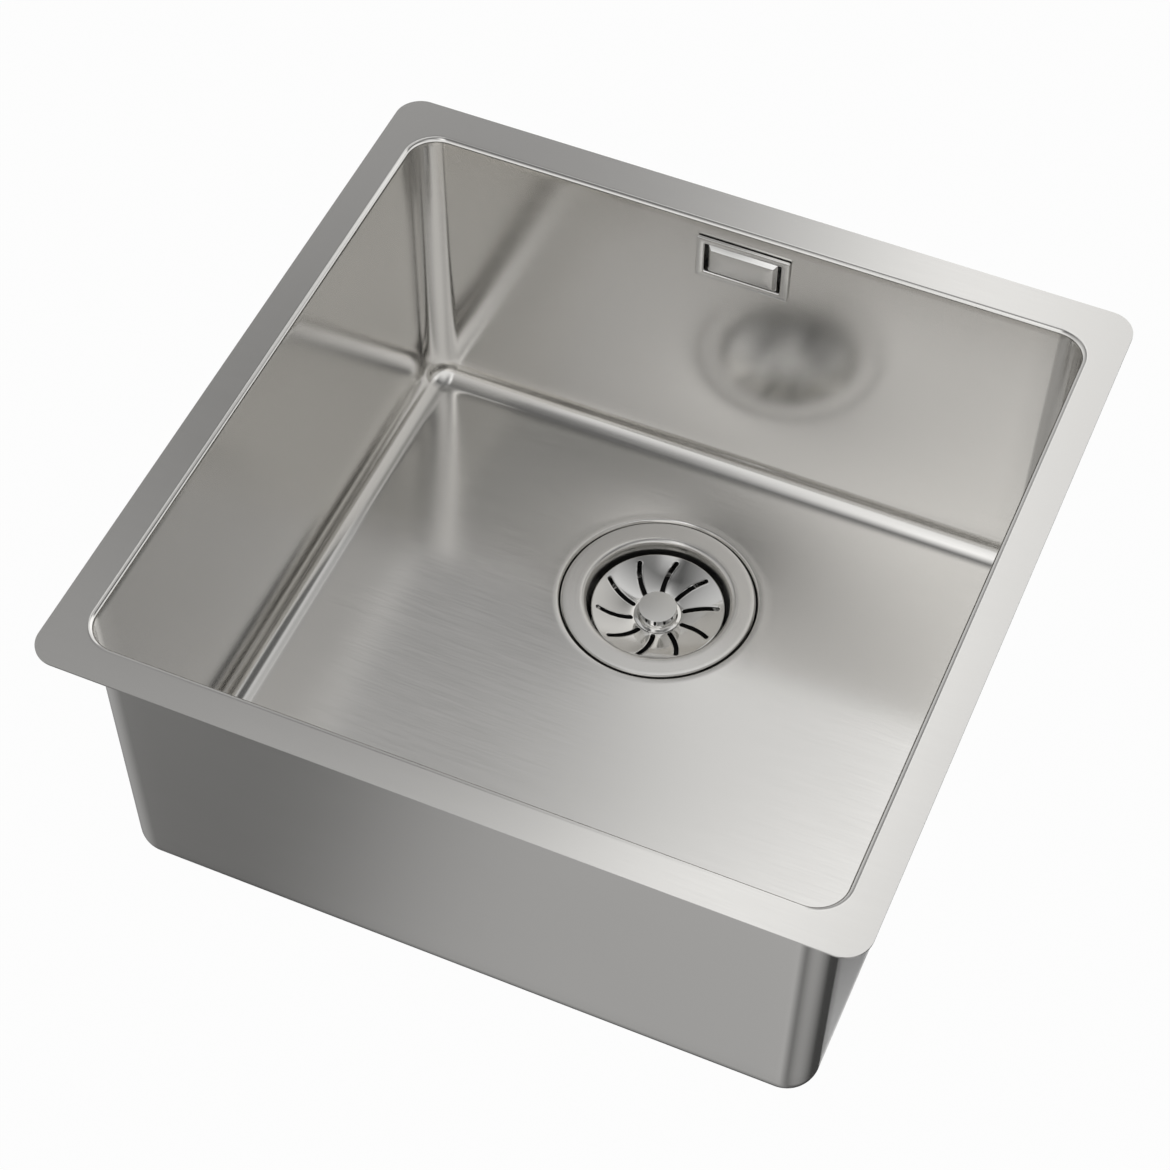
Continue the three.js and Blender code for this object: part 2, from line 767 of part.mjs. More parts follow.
function overflowHousing() {
  const [width, height] = [throatWidth + 2 * housingMargin, throatHeight + 2 * housingMargin];
  const cavity = throatWall + loose;
  const outer = cavity + housingWall;
  const flangeBack = housingFront + housingFlange;
  const flange = slab(width, height, housingCorner, housingFront, flangeBack);
  const shell = throatBlock(outer, flangeBack - past, housingDepth);
  const inside = throatBlock(cavity, housingFront - past, housingDepth - housingWall);
  const spout = spigot()
    .rotate([180, 0, 0])
    .translate([0, outletSetback, spoutMouth() + spigotLength]);
  const bore = rod(pipeBore, spoutMouth() - past, 0).translate([0, outletSetback, 0]);
  const socket = rod(pipeRadius + loose, spoutMouth() - past, spoutMouth() + pipeInsert + loose);
  const lug = rodY(lugRadius, housingDepth - housingWall - lugLength, housingDepth - past);
  const pocket = rodY(overflowInsert + loose, 0, housingDepth - housingWall);
  return joined([flange, shell, spout])
    .subtract(inside)
    .subtract(bore)
    .add(lug)
    .subtract(pocket)
    .subtract(socket.translate([0, outletSetback, 0]));
}

// Mouth of the housing's spout, below the throat's axis.
const spoutMouth = () =>
  -(throatHeight / 2 + throatWall + loose + housingWall + spigotLength - past);

const overflowInsertRing = () => {
  const back = housingDepth - housingWall - seat;
  const front = back - lugLength + seat;
  return ring(overflowScrew + loose, overflowInsert, -back, -front, smallSteps).rotate([90, 0, 0]);
};

function overflowScrewBody() {
  const underHead = frameBack + barDepth - seat;
  const tip = housingDepth - housingWall - past;
  const top = underHead - overflowScrewHeadHeight;
  const body = turned(
    [
      [0, -tip],
      [overflowScrew - chamfer, -tip],
      [overflowScrew, chamfer - tip],
      [overflowScrew, -underHead],
      [overflowScrewHead, -underHead],
      [overflowScrewHead, -top - chamfer],
      [overflowScrewHead - chamfer, -top],
      [0, -top],
    ],
    smallSteps,
  );
  const slot = box(2 * (overflowScrewHead + past), screwSlot, -top - screwSlot, past - top);
  return body.subtract(slot).rotate([90, 0, 0]);
}

// ---- Overflow pipe ------------------------------------------------------------------------------

const spoutZ = () => spoutMouth() - overflowDrop;

// The pipe's axis: down behind the bowl in one step, round a bend in several, and forward to the
// waste body in one.
class PipeAxis extends THREE.Curve {
  getPoint(share) {
    const step = share * (pipeBendSteps + 2);
    const down = Math.max(1 - step, 0) * (spoutZ() + pipeInsert - pipeZ - pipeBend);
    const forward = Math.max(step - pipeBendSteps - 1, 0);
    const angle = THREE.MathUtils.clamp((step - 1) / pipeBendSteps, 0, 1) * (Math.PI / 2);
    const reach = pipeY - pipeBend - (wasteY + inletReach() - pipeInsert);
    return new THREE.Vector3(
      0,
      pipeY - pipeBend * (1 - Math.cos(angle)) - forward * reach,
      pipeZ + pipeBend * (1 - Math.sin(angle)) + down,
    );
  }

  // The steps are shared out as above, and not by length.
  getUtoTmapping(share) {
    return share;
  }
}

function overflowPipe() {
  const section = new THREE.Shape();
  section.absarc(0, 0, pipeRadius, 0, 2 * Math.PI);
  const bore = new THREE.Path();
  bore.absarc(0, 0, pipeBore, 0, 2 * Math.PI, true);
  section.holes.push(bore);
  const steps = pipeBendSteps + 2;
  const options = { steps, curveSegments: smallSteps / 2, extrudePath: new PipeAxis() };
  return solid(new THREE.ExtrudeGeometry(section, options));
}

// A union nut along Z: its open end, at 0, screws onto a spigot, and its hole passes the pipe.
function unionNut() {
  const [inner, outer] = [spigotRadius + loose, spigotRadius + loose + nutWall];
  const cap = nutHeight - nutWall + seat;
  const body = turned(
    [
      [inner, 0],
      [outer - chamfer, 0],
      [outer, chamfer],
      [outer, nutHeight - 2 * chamfer],
      [outer - 2 * chamfer, nutHeight],
      [pipeRadius + loose, nutHeight],
      [pipeRadius + loose, cap],
      [inner, cap],
    ],
    2 * nutFlutes,
  );
  const flutes = around(nutFlutes, (turn) =>
    rod(fluteRadius, -past, nutHeight - 3 * chamfer, 6)
      .translate([outer + fluteRadius - fluteDepth, 0, 0])
      .rotate([0, 0, turn]),
  );
  return without(body, flutes);
}

// The wedge ring that the nut squeezes between the spigot's mouth and the pipe.
const unionSealRing = () =>
  turned(
    [
      [pipeRadius + loose, 0],
      [spigotRadius - 2 * loose, 0],
      [spigotRadius - 2 * loose, unionSealEdge],
      [pipeRadius + loose + unionSealEdge, unionSeal],
      [pipeRadius + loose, unionSeal],
    ],
    smallSteps,
  );

// ---- Damping pad ------------------------------------------------------------------------------

// Everything above the falling floor's underside, moved down by a distance.
const aboveFloor = (distance) => {
  const down = sheet + distance;
  const level = (z) => wallLoop(-floorFillet, -bowlHeight).map(([x, y]) => [x, y, z]);
  const loops = [drainLoop(floorLow - down), level(-bowlHeight - down), level(0)];
  return lofted(loops, [0, wasteY, floorLow - down], [0, 0, 0]);
};

function dampingPad() {
  const outline = roundedRectangle(padWidth, padDepth, padCorner);
  const padY = wasteY - recessRadius - recessSlope - padSetback - padDepth / 2;
  return extruded(outline, -2 * bowlHeight, 0)
    .translate([0, padY, 0])
    .intersect(aboveFloor(seat + padThickness))
    .subtract(aboveFloor(seat));
}

// ---- Assembly ---------------------------------------------------------------------------------

const sink = new THREE.Group();
sink.add(piece("bowl", bowl(), brushedSteel));

sink.add(piece("damping_pad", dampingPad(), dampingFelt));

const waste = new THREE.Group();
waste.position.set(0, wasteY, cupTop);
waste.add(
  piece("strainer_cup", strainerCup(), satinSteel),
  piece("flange_gasket", flangeGasketRing(), rubber),
  piece("body_gasket", bodyGasketRing(), rubber),
  piece("waste_body", wasteBody(), polypropylene),
  piece("waste_tail", wasteTail(), polypropylene),
  piece("clamp_insert", brassHexagon(), brass),
  piece("clamp_screw", clampScrew(), screwSteel),
);

const plug = new THREE.Group();
plug.add(
  piece("strainer_dish", strainerDish(), polishedSteel),
  piece("plug_knob", knob(), polishedSteel),
  piece("plug_stem", plugStem(), nylon),
  piece("plug_seal", plugSeal(), rubber),
  piece("stem_screw", stemScrewBody(), screwSteel),
);
waste.add(plug);
sink.add(waste);

const overflow = new THREE.Group();
overflow.position.set(0, overflowY, -overflowDrop);
overflow.add(
  piece("overflow_frame", overflowFrame(), satinSteel),
  piece("overflow_cover", overflowCover(), satinSteel),
  piece("overflow_gasket", overflowGasketRing(), rubber),
  piece("overflow_housing", overflowHousing(), polypropylene),
  piece("overflow_insert", overflowInsertRing(), brass),
  piece("overflow_screw", overflowScrewBody(), screwSteel),
);
sink.add(overflow);

sink.add(piece("overflow_pipe", overflowPipe(), polypropylene));

// Each union stands at a spigot's mouth, with the nut's cap side away from the spigot.
const unions = [
  ["upper", [0, pipeY, spoutZ()], Math.PI],
  ["lower", [0, wasteY + inletReach(), pipeZ], -Math.PI / 2],
];
for (const [name, position, turn] of unions) {
  const union = new THREE.Group();
  union.position.set(...position);
  union.rotation.x = turn;
  const nutStart = unionSeal + 2 * seat + nutWall - seat - nutHeight;
  union.add(
    piece(`${name}_union_nut`, unionNut(), polypropylene, [0, 0, nutStart]),
    piece(`${name}_union_seal`, unionSealRing(), rubber, [0, 0, seat]),
  );
  sink.add(union);
}

export default sink;
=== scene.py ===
import math

import bmesh
import bpy
import numpy as np
from mathutils import Matrix, Vector


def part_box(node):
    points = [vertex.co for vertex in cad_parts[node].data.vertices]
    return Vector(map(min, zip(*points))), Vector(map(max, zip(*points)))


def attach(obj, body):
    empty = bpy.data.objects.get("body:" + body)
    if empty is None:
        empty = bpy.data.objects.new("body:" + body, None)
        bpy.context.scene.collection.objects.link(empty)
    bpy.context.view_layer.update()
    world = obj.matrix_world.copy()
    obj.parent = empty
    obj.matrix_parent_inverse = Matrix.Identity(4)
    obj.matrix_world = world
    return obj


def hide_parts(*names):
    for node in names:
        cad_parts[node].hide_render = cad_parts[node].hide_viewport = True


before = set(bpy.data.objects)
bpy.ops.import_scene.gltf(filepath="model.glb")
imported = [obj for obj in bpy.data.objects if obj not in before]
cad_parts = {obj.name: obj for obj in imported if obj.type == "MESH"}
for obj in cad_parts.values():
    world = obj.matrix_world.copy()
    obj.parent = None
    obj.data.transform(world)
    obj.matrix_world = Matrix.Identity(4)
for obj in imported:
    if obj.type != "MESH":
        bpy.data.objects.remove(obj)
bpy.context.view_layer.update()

mm = 0.001

# each drawn piece's finish, the body it rides on, its slot, and the node that it stands for
pieces = {
    "bowlShell": ("bowlSteel", "sink", "bowl_steel", "bowl"),
    "strainerCup": ("flangeSteel", "sink", "waste_steel", "strainer_cup"),
    "strainerDish": ("polishedSteel", "plug", "polished_steel", "strainer_dish"),
    "plugKnob": ("polishedSteel", "plug", "polished_steel", "plug_knob"),
    "overflowFrame": ("overflowSteel", "sink", "overflow_steel", "overflow_frame"),
    "overflowCover": ("overflowSteel", "cover", "overflow_steel", "overflow_cover"),
    "wasteBody": ("whitePlastic", "sink", "white_plastic", "waste_body"),
    "wasteTail": ("whitePlastic", "sink", "white_plastic", "waste_tail"),
    "overflowPipe": ("whitePlastic", "sink", "white_plastic", "overflow_pipe"),
    "upperUnionNut": ("whitePlastic", "sink", "white_plastic", "upper_union_nut"),
    "lowerUnionNut": ("whitePlastic", "sink", "white_plastic", "lower_union_nut"),
    "overflowHousing": ("whitePlastic", "sink", "white_plastic", "overflow_housing"),
    "overflowGasket": ("rubber", "sink", "rubber", "overflow_gasket"),
    "bodyGasket": ("rubber", "sink", "rubber", "body_gasket"),
    "plugStem": ("stemPlastic", "plug", "stem_plastic", "plug_stem"),
    "plugSeal": ("rubber", "seal", "rubber", "plug_seal"),
    "dampingSheet": ("dampingSheet", "sink", "damping_pad", "damping_pad"),
}
# CAD nodes that keep their shape, by finish
dressed = {
    "rubber": ["flange_gasket", "upper_union_seal", "lower_union_seal"],
    "screwSteel": ["clamp_screw", "stem_screw", "overflow_screw"],
    "brass": ["clamp_insert", "overflow_insert"],
}
sharpAngle = math.radians(32)  # faces that meet at more than this show an edge
weldDistance = 0.002 * mm
# roundings, from a cut sheet's edge to a moulded corner
hair, crisp, dull, eased, soft, blunt, full = [size * mm for size in (0.1, 0.2, 0.3, 0.4, 0.5, 0.6, 0.8)]


# Millimetres turned into metres. others holds the values that aren't lengths.
def inMetres(lengths, **others):
    return {name: np.multiply(size, mm) for name, size in lengths.items()} | others


# A point of a node's box: shares go from its low corner, 0, to its high corner, 1, along X, Y and Z.
def boxPoint(node, *shares):
    low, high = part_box(node)
    return Vector([a + (b - a) * share for a, b, share in zip(low, high, shares)])


drain = boxPoint("strainer_cup", 0.5, 0.5, 1)
overflow = boxPoint("overflow_frame", 0.5, 0, 0.5)


# A quad for each cell of a grid of points, as four point numbers.
def gridQuads(rows, columns, wrapRows, wrapColumns):
    row = np.arange(rows if wrapRows else rows - 1)[:, None]
    column = np.arange(columns if wrapColumns else columns - 1)[None, :]
    nextRow, nextColumn = (row + 1) % rows, (column + 1) % columns
    corners = (row * columns + column, row * columns + nextColumn,
               nextRow * columns + nextColumn, nextRow * columns + column)
    return np.stack(np.broadcast_arrays(*corners), axis=-1)


# Grids joined into one mesh, with shared points welded. A closed shell gets its faces turned outwards.
def meshFromGrids(name, grids, closed):
    points, quads, start = [], [], 0
    for grid in grids:
        rows, columns = grid["points"].shape[:2]
        faces = gridQuads(rows, columns, grid.get("wrapRows", False), grid.get("wrapColumns", True))
        if "keep" in grid:
            faces = faces[grid["keep"]]
        points.append(grid["points"].reshape(-1, 3))
        quads.append(faces.reshape(-1, 4) + start)
        start += rows * columns
    mesh = bpy.data.meshes.new(name)
    mesh.from_pydata(np.concatenate(points).tolist(), [], np.concatenate(quads).tolist())
    shape = bmesh.new()
    shape.from_mesh(mesh)
    bmesh.ops.remove_doubles(shape, verts=shape.verts, dist=weldDistance)
    bmesh.ops.dissolve_degenerate(shape, edges=shape.edges, dist=weldDistance / 2)
    if closed:
        bmesh.ops.recalc_face_normals(shape, faces=shape.faces)
    shape.to_mesh(mesh)
    shape.free()
    return mesh


# An object in the scene for a mesh or camera.
def addObject(name, data):
    made = bpy.data.objects.new(name, data)
    bpy.context.scene.collection.objects.link(made)
    return made


# The mesh of an object once its modifiers have run. The object itself goes.
def settled(mesh, modifiers):
    worker = addObject("worker", mesh)
    for kind, values in modifiers:
        modifier = worker.modifiers.new(kind, kind)
        for key, value in values.items():
            setattr(modifier, key, value)
    shaped = bpy.data.meshes.new_from_object(worker.evaluated_get(bpy.context.evaluated_depsgraph_get()))
    bpy.data.objects.remove(worker)
    return shaped


# A piece of the sink: one mesh of all its grids, smoothed up to the sharp angle, with what the table of
# pieces gives for its name. A sheet gets its thickness from modifiers.
def addPiece(name, grids, modifiers=()):
    mesh = meshFromGrids(name, grids, closed=not modifiers)
    if modifiers:
        mesh = settled(mesh, modifiers)
    mesh.shade_smooth()
    mesh.set_sharp_from_angle(angle=sharpAngle)
    finish, body, slotName, node = pieces[name]
    mesh.materials.append(finishes[finish])
    piece = addObject(name, mesh)
    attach(piece, body)
    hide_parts(node)
    return piece


# Straight lines through (u, v, radius) corners, each corner rounded by an arc that touches both lines.
def roundedPath(corners, closed=False, steps=4):
    spots = np.array([corner[:2] for corner in corners], float)
    stretches = []
    for i, corner in enumerate(corners):
        here, radius = spots[i], corner[2]
        if radius == 0 or (not closed and i in (0, len(corners) - 1)):
            stretches.append(here[None])
            continue
        back, ahead = spots[i - 1] - here, spots[(i + 1) % len(spots)] - here
        lengths = np.linalg.norm(back), np.linalg.norm(ahead)
        back, ahead = back / lengths[0], ahead / lengths[1]
        half = np.arccos(np.clip(back @ ahead, -1, 1)) / 2
        reach = min(radius / np.tan(half), 0.49 * lengths[0], 0.49 * lengths[1])
        centre = here + (back + ahead) / np.linalg.norm(back + ahead) * reach / np.cos(half)
        first, last = here + back * reach - centre, here + ahead * reach - centre
        share, turn = np.linspace(0, 1, steps + 1)[:, None], np.pi - 2 * half
        bow = np.sin((1 - share) * turn) * first + np.sin(share * turn) * last
        stretches.append(centre + bow / np.sin(turn))
    return np.concatenate(stretches)


# A (radius, along) path turned about an axis: centre + along * axis + radius * (cos a, sin a) across it.
# swell is added to the radius, by row and by angle.
def turnedGrid(path, centre, axis=(0, 0, 1), turns=96, wrapRows=True, swell=0):
    along = Vector(axis).normalized()
    side = along.orthogonal().normalized() if abs(along.z) < 0.9 else Vector((1, 0, 0))
    third = along.cross(side)
    angle = np.linspace(0, 2 * np.pi, turns, endpoint=False)[None, :, None]
    radius, height = (path[:, 0][:, None] + swell)[:, :, None], path[:, 1][:, None, None]
    ring = np.cos(angle) * np.array(side) + np.sin(angle) * np.array(third)
    points = np.array(centre) + height * np.array(along) + radius * ring
    return {"points": points, "wrapRows": wrapRows}


# A turned piece with a thread from first to last along it, ten rows to a pitch: a wave that climbs one pitch
# with each turn and dies out over a pitch at both ends. rest is the path of everything else.
def threadedGrid(rest, radius, first, last, thread, centre, axis=(0, 0, 1), turns=96):
    along = np.linspace(first, last, int(10 * abs(last - first) / thread["pitch"]))[1:-1, None]
    share = along / thread["pitch"] - np.linspace(0, 1, turns, endpoint=False)[None, :]
    fade = np.clip(np.minimum(along - first, last - along) / thread["pitch"], 0, 1)
    swell = -thread["threadDepth"] * (0.5 + 0.5 * np.cos(2 * np.pi * share)) * fade
    path = np.concatenate([rest, np.insert(along, 0, radius, axis=1)])
    swell = np.concatenate([np.zeros((len(rest), turns)), swell])
    return turnedGrid(path, centre, axis, turns, swell=swell)


# A rectangle with round corners as an (x, y) loop. Each edge has inner points at shares of its half length,
# from 1, its start, to -1, its end. The back edge may be given its own places along X.
def rectangleLoop(halfX, halfY, radius, cornerSteps=8, shares=(0,), backX=None):
    radius = min(radius, halfX, halfY)
    flatX, flatY = halfX - radius, halfY - radius
    alongX, alongY = np.array(shares) * flatX, np.array(shares) * flatY
    angle = np.linspace(0, np.pi / 2, cornerSteps + 1)
    corners = [(flatX, flatY), (-flatX, flatY), (-flatX, -flatY), (flatX, -flatY)]
    backX = alongX if backX is None else backX
    edges = [(backX, halfY), (-halfX, alongY), (-alongX, -halfY), (halfX, -alongY)]
    loops = []
    for quarter, ((x, y), edge) in enumerate(zip(corners, edges)):
        a = angle + quarter * np.pi / 2
        loops.append(np.column_stack([x + radius * np.cos(a), y + radius * np.sin(a)]))
        loops.append(np.column_stack(np.broadcast_arrays(*edge)))
    return np.concatenate(loops)


# A closed flat loop carried along axis 0, 1 or 2 from start to end, its ends filled to their middles.
def barGrid(loop, start, end, axis):
    middle = 0 * loop + loop.mean(axis=0)
    rows = [(middle, start), (loop, start), (loop, end), (middle, end)]
    return {"points": np.array([np.insert(flat, axis, place, axis=1) for flat, place in rows])}


# A sheet round an axis with `count` openings: row i lies at radius[i] and height[i], and each opening
# takes the angle halfWidth[i] / radius[i] to both sides of its own middle, which stands at turn[i].
def piercedGrids(radius, height, centre, count, halfWidth, turn, cells):
    sector = 2 * np.pi / count
    half = (halfWidth / np.maximum(radius, mm))[:, None]
    share = np.linspace(0, 1, cells + 1)[None, :]
    grids = []
    for i in range(count):
        angle = turn[:, None] + i * sector + half + (sector - 2 * half) * share
        x, y = centre[0] + radius[:, None] * np.cos(angle), centre[1] + radius[:, None] * np.sin(angle)
        z = centre[2] + height[:, None] + 0 * angle
        grids.append({"points": np.stack([x, y, z], -1), "wrapColumns": False})
    return grids


# A shader node. Of its inputs in links, a socket is linked and anything else set as the value.
def addNode(tree, kind, links=None, **values):
    node = tree.nodes.new("ShaderNode" + kind)
    for key, value in values.items():
        setattr(node, key, value)
    for socket, source in (links or {}).items():
        if isinstance(source, bpy.types.NodeSocket):
            tree.links.new(source, node.inputs[socket])
        else:
            node.inputs[socket].default_value = source
    return node


# Layered noise read at place: scale is its fineness, roughness the strength of its finer layers.
def noise(tree, place, scale, detail, roughness=0.5):
    links = {"Vector": place, "Scale": scale, "Detail": detail, "Roughness": roughness}
    return addNode(tree, "TexNoise", links).outputs["Fac"]


# A pattern group: from Place come Height, the relief that its own function draws, and Mask, slow patches.
def makePattern(name, makeHeight, patchDetail, *vectors):
    group = bpy.data.node_groups.new(name, "ShaderNodeTree")
    for label in ("Place", *vectors):
        group.interface.new_socket(label, in_out="INPUT", socket_type="NodeSocketVector")
    for label in ("Fineness", "Patch Size"):
        group.interface.new_socket(label, in_out="INPUT", socket_type="NodeSocketFloat")
    for label in ("Height", "Mask"):
        group.interface.new_socket(label, in_out="OUTPUT", socket_type="NodeSocketFloat")
    given = group.nodes.new("NodeGroupInput").outputs
    result = group.nodes.new("NodeGroupOutput")
    group.links.new(makeHeight(group, given), result.inputs["Height"])
    group.links.new(noise(group, given["Place"], given["Patch Size"], patchDetail), result.inputs["Mask"])
    return group


# Fine lines of a brushed or rolled sheet: noise drawn out by Stretch.
def brushedHeight(group, given):
    drawn = addNode(group, "VectorMath", {0: given["Place"], 1: given["Stretch"]}, operation="MULTIPLY")
    return noise(group, drawn.outputs[0], given["Fineness"], 4.0, 0.65)


# Rings left by turning about Z: noise read along the radius and along Z.
def ringsHeight(group, given):
    split = addNode(group, "SeparateXYZ", {0: given["Place"]}).outputs
    flat = addNode(group, "CombineXYZ", {"X": split["X"], "Y": split["Y"]})
    radius = addNode(group, "VectorMath", {0: flat.outputs[0]}, operation="LENGTH")
    along = addNode(group, "CombineXYZ", {"X": radius.outputs["Value"], "Y": split["Z"]})
    return noise(group, along.outputs[0], given["Fineness"], 3.0, 0.6)


# The skin of moulded plastic or rubber: a speckle of rounded cells.
def speckleHeight(group, given):
    cells = addNode(group, "TexVoronoi", {"Vector": given["Place"], "Scale": given["Fineness"]},
                    feature="SMOOTH_F1")
    return cells.outputs["Distance"]


brushedLines = makePattern("brushedLines", brushedHeight, 3.0, "Stretch")
turnedRings = makePattern("turnedRings", ringsHeight, 2.0)
mouldedSkin = makePattern("mouldedSkin", speckleHeight, 3.0)
finishes = {}


# A Principled material: a pattern group's Mask moves the colour by shade to both sides, and its Height moves
# the roughness by spread and raises the bump. middle is where the pattern has its axis.
def makeMaterial(name, group, colour, roughness, fineness, patchSize, stretch=None, metallic=1,
                 middle=(0, 0, 0), bump=0.05, bumpDepth=0.02, shade=0.03, spread=0.05):
    material = bpy.data.materials.new(name)
    material.use_nodes = True
    tree = material.node_tree
    shader = tree.nodes["Principled BSDF"]
    place = addNode(tree, "TexCoord")
    centred = addNode(tree, "Mapping", {"Vector": place.outputs["Object"], "Location": [-v for v in middle]})
    look = tree.nodes.new("ShaderNodeGroup")
    look.node_tree = group
    tree.links.new(centred.outputs[0], look.inputs["Place"])
    look.inputs["Fineness"].default_value = fineness
    look.inputs["Patch Size"].default_value = patchSize
    if stretch:
        look.inputs["Stretch"].default_value = stretch
    darker = [c * (1 - shade) for c in colour] + [1]
    lighter = [min(1, c * (1 + shade)) for c in colour] + [1]
    tint = addNode(tree, "Mix", {0: look.outputs["Mask"], 6: darker, 7: lighter}, data_type="RGBA")
    tree.links.new(tint.outputs[2], shader.inputs["Base Color"])
    gloss = addNode(tree, "MapRange", {"Value": look.outputs["Height"], "From Min": 0.3, "From Max": 0.7,
                                       "To Min": roughness - spread, "To Max": roughness + spread})
    tree.links.new(gloss.outputs["Result"], shader.inputs["Roughness"])
    relief = addNode(tree, "Bump", {"Height": look.outputs["Height"], "Strength": bump,
                                    "Distance": bumpDepth * mm})
    tree.links.new(relief.outputs["Normal"], shader.inputs["Normal"])
    shader.inputs["Metallic"].default_value = metallic
    finishes[name] = material


makeMaterial("bowlSteel", brushedLines, (0.69, 0.68, 0.66), 0.165, 900, 7, (0.03, 1, 1), bump=0.012,
             spread=0.015)
makeMaterial("flangeSteel", turnedRings, (0.69, 0.68, 0.66), 0.24, 1200, 30, middle=drain, bump=0.06,
             spread=0.03)
makeMaterial("polishedSteel", turnedRings, (0.76, 0.755, 0.74), 0.07, 1600, 60, middle=drain, bump=0.02,
             spread=0.02)
makeMaterial("knobTop", turnedRings, (0.68, 0.675, 0.66), 0.3, 1600, 60, middle=drain, spread=0.03)
makeMaterial("overflowSteel", brushedLines, (0.74, 0.735, 0.72), 0.2, 1200, 40, (0.05, 1, 1), spread=0.03)
makeMaterial("screwSteel", turnedRings, (0.58, 0.575, 0.56), 0.3, 2500, 90)
makeMaterial("brass", turnedRings, (0.72, 0.52, 0.22), 0.28, 2500, 90)
makeMaterial("whitePlastic", mouldedSkin, (0.78, 0.78, 0.76), 0.42, 1400, 25, metallic=0, bumpDepth=0.05,
             shade=0.02)
makeMaterial("stemPlastic", mouldedSkin, (0.8, 0.78, 0.7), 0.38, 1800, 60, metallic=0, bumpDepth=0.05,
             shade=0.02)
makeMaterial("rubber", mouldedSkin, (0.022, 0.022, 0.023), 0.62, 1600, 50, metallic=0, bump=0.12,
             bumpDepth=0.06, shade=0.15)
makeMaterial("dampingSheet", mouldedSkin, (0.045, 0.045, 0.047), 0.8, 500, 14, metallic=0, bump=0.3,
             bumpDepth=0.3, shade=0.2)
for finish, nodes in dressed.items():
    for node in nodes:
        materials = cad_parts[node].data.materials
        materials.clear()
        materials.append(finishes[finish])
print("finishes made:", len(finishes))


# Bowl: one pressed sheet from the rim's edge to the drain's hole
bowl = inMetres({
    "width": 399,  # between the side walls, at the top
    "depth": 394,
    "shift": -2.2,  # of the bowl's middle, along Y
    "height": 195.5,  # to the floor's edge
    "fall": 2.5,  # of the floor, down to the drain
    "sheet": 1,
    "rimCorner": 15,
    "wallCorner": 17,
    "rimBend": 2.7,
    "floorFillet": 15,
    "cutout": (48.8, 24.3),  # for the overflow's throat
    "recess": (59.3, 57.6),  # radius at the floor, and at its bottom
    "recessBend": 1.3,
    "recessHeel": 0.5,
    "recessDepth": 2.1,  # its floor below the strainer's flange
    "land": 63,  # radius of the level ring round the recess
    "hole": 45,
}, draft=math.radians(1.03), dish=1.2)  # a dish above 1 keeps the floor flatter towards the walls


# The bowl's outline at one level. On the back edge the points near the overflow keep their places.
def bowlOutline(halfX, halfY, radius):
    cutout = bowl["cutout"][0] / 2
    beside = cutout + (halfX - radius - cutout) * np.linspace(1, 0, 12, endpoint=False)[1:]
    backX = np.concatenate([beside, np.linspace(cutout, -cutout, 9), -beside[::-1]])
    return rectangleLoop(halfX, halfY, radius, 20, np.linspace(1, -1, 29)[1:-1], backX)


# One level of the wall, leaning in as it goes down, moved outwards by out.
def wallLevel(out, z):
    lean = math.tan(bowl["draft"]) * min(-z, bowl["height"] - bowl["floorFillet"])
    halfX, halfY = bowl["width"] / 2 + out - lean, bowl["depth"] / 2 + out - lean
    return np.insert(bowlOutline(halfX, halfY, bowl["wallCorner"] + out) + [0, bowl["shift"]], 2, z, axis=1)


# How far inside the floor a place lies: a parabola across X times one across Y, 1 in the middle and 0 at the
# farthest points of the floor's edge.
def floorInset(x, y, edge):
    halfX, halfY = np.abs(edge[:, 0]).max(), np.abs(edge[:, 1] - bowl["shift"]).max()
    return (1 - (x / halfX) ** 2) * (1 - ((y - bowl["shift"]) / halfY) ** 2)


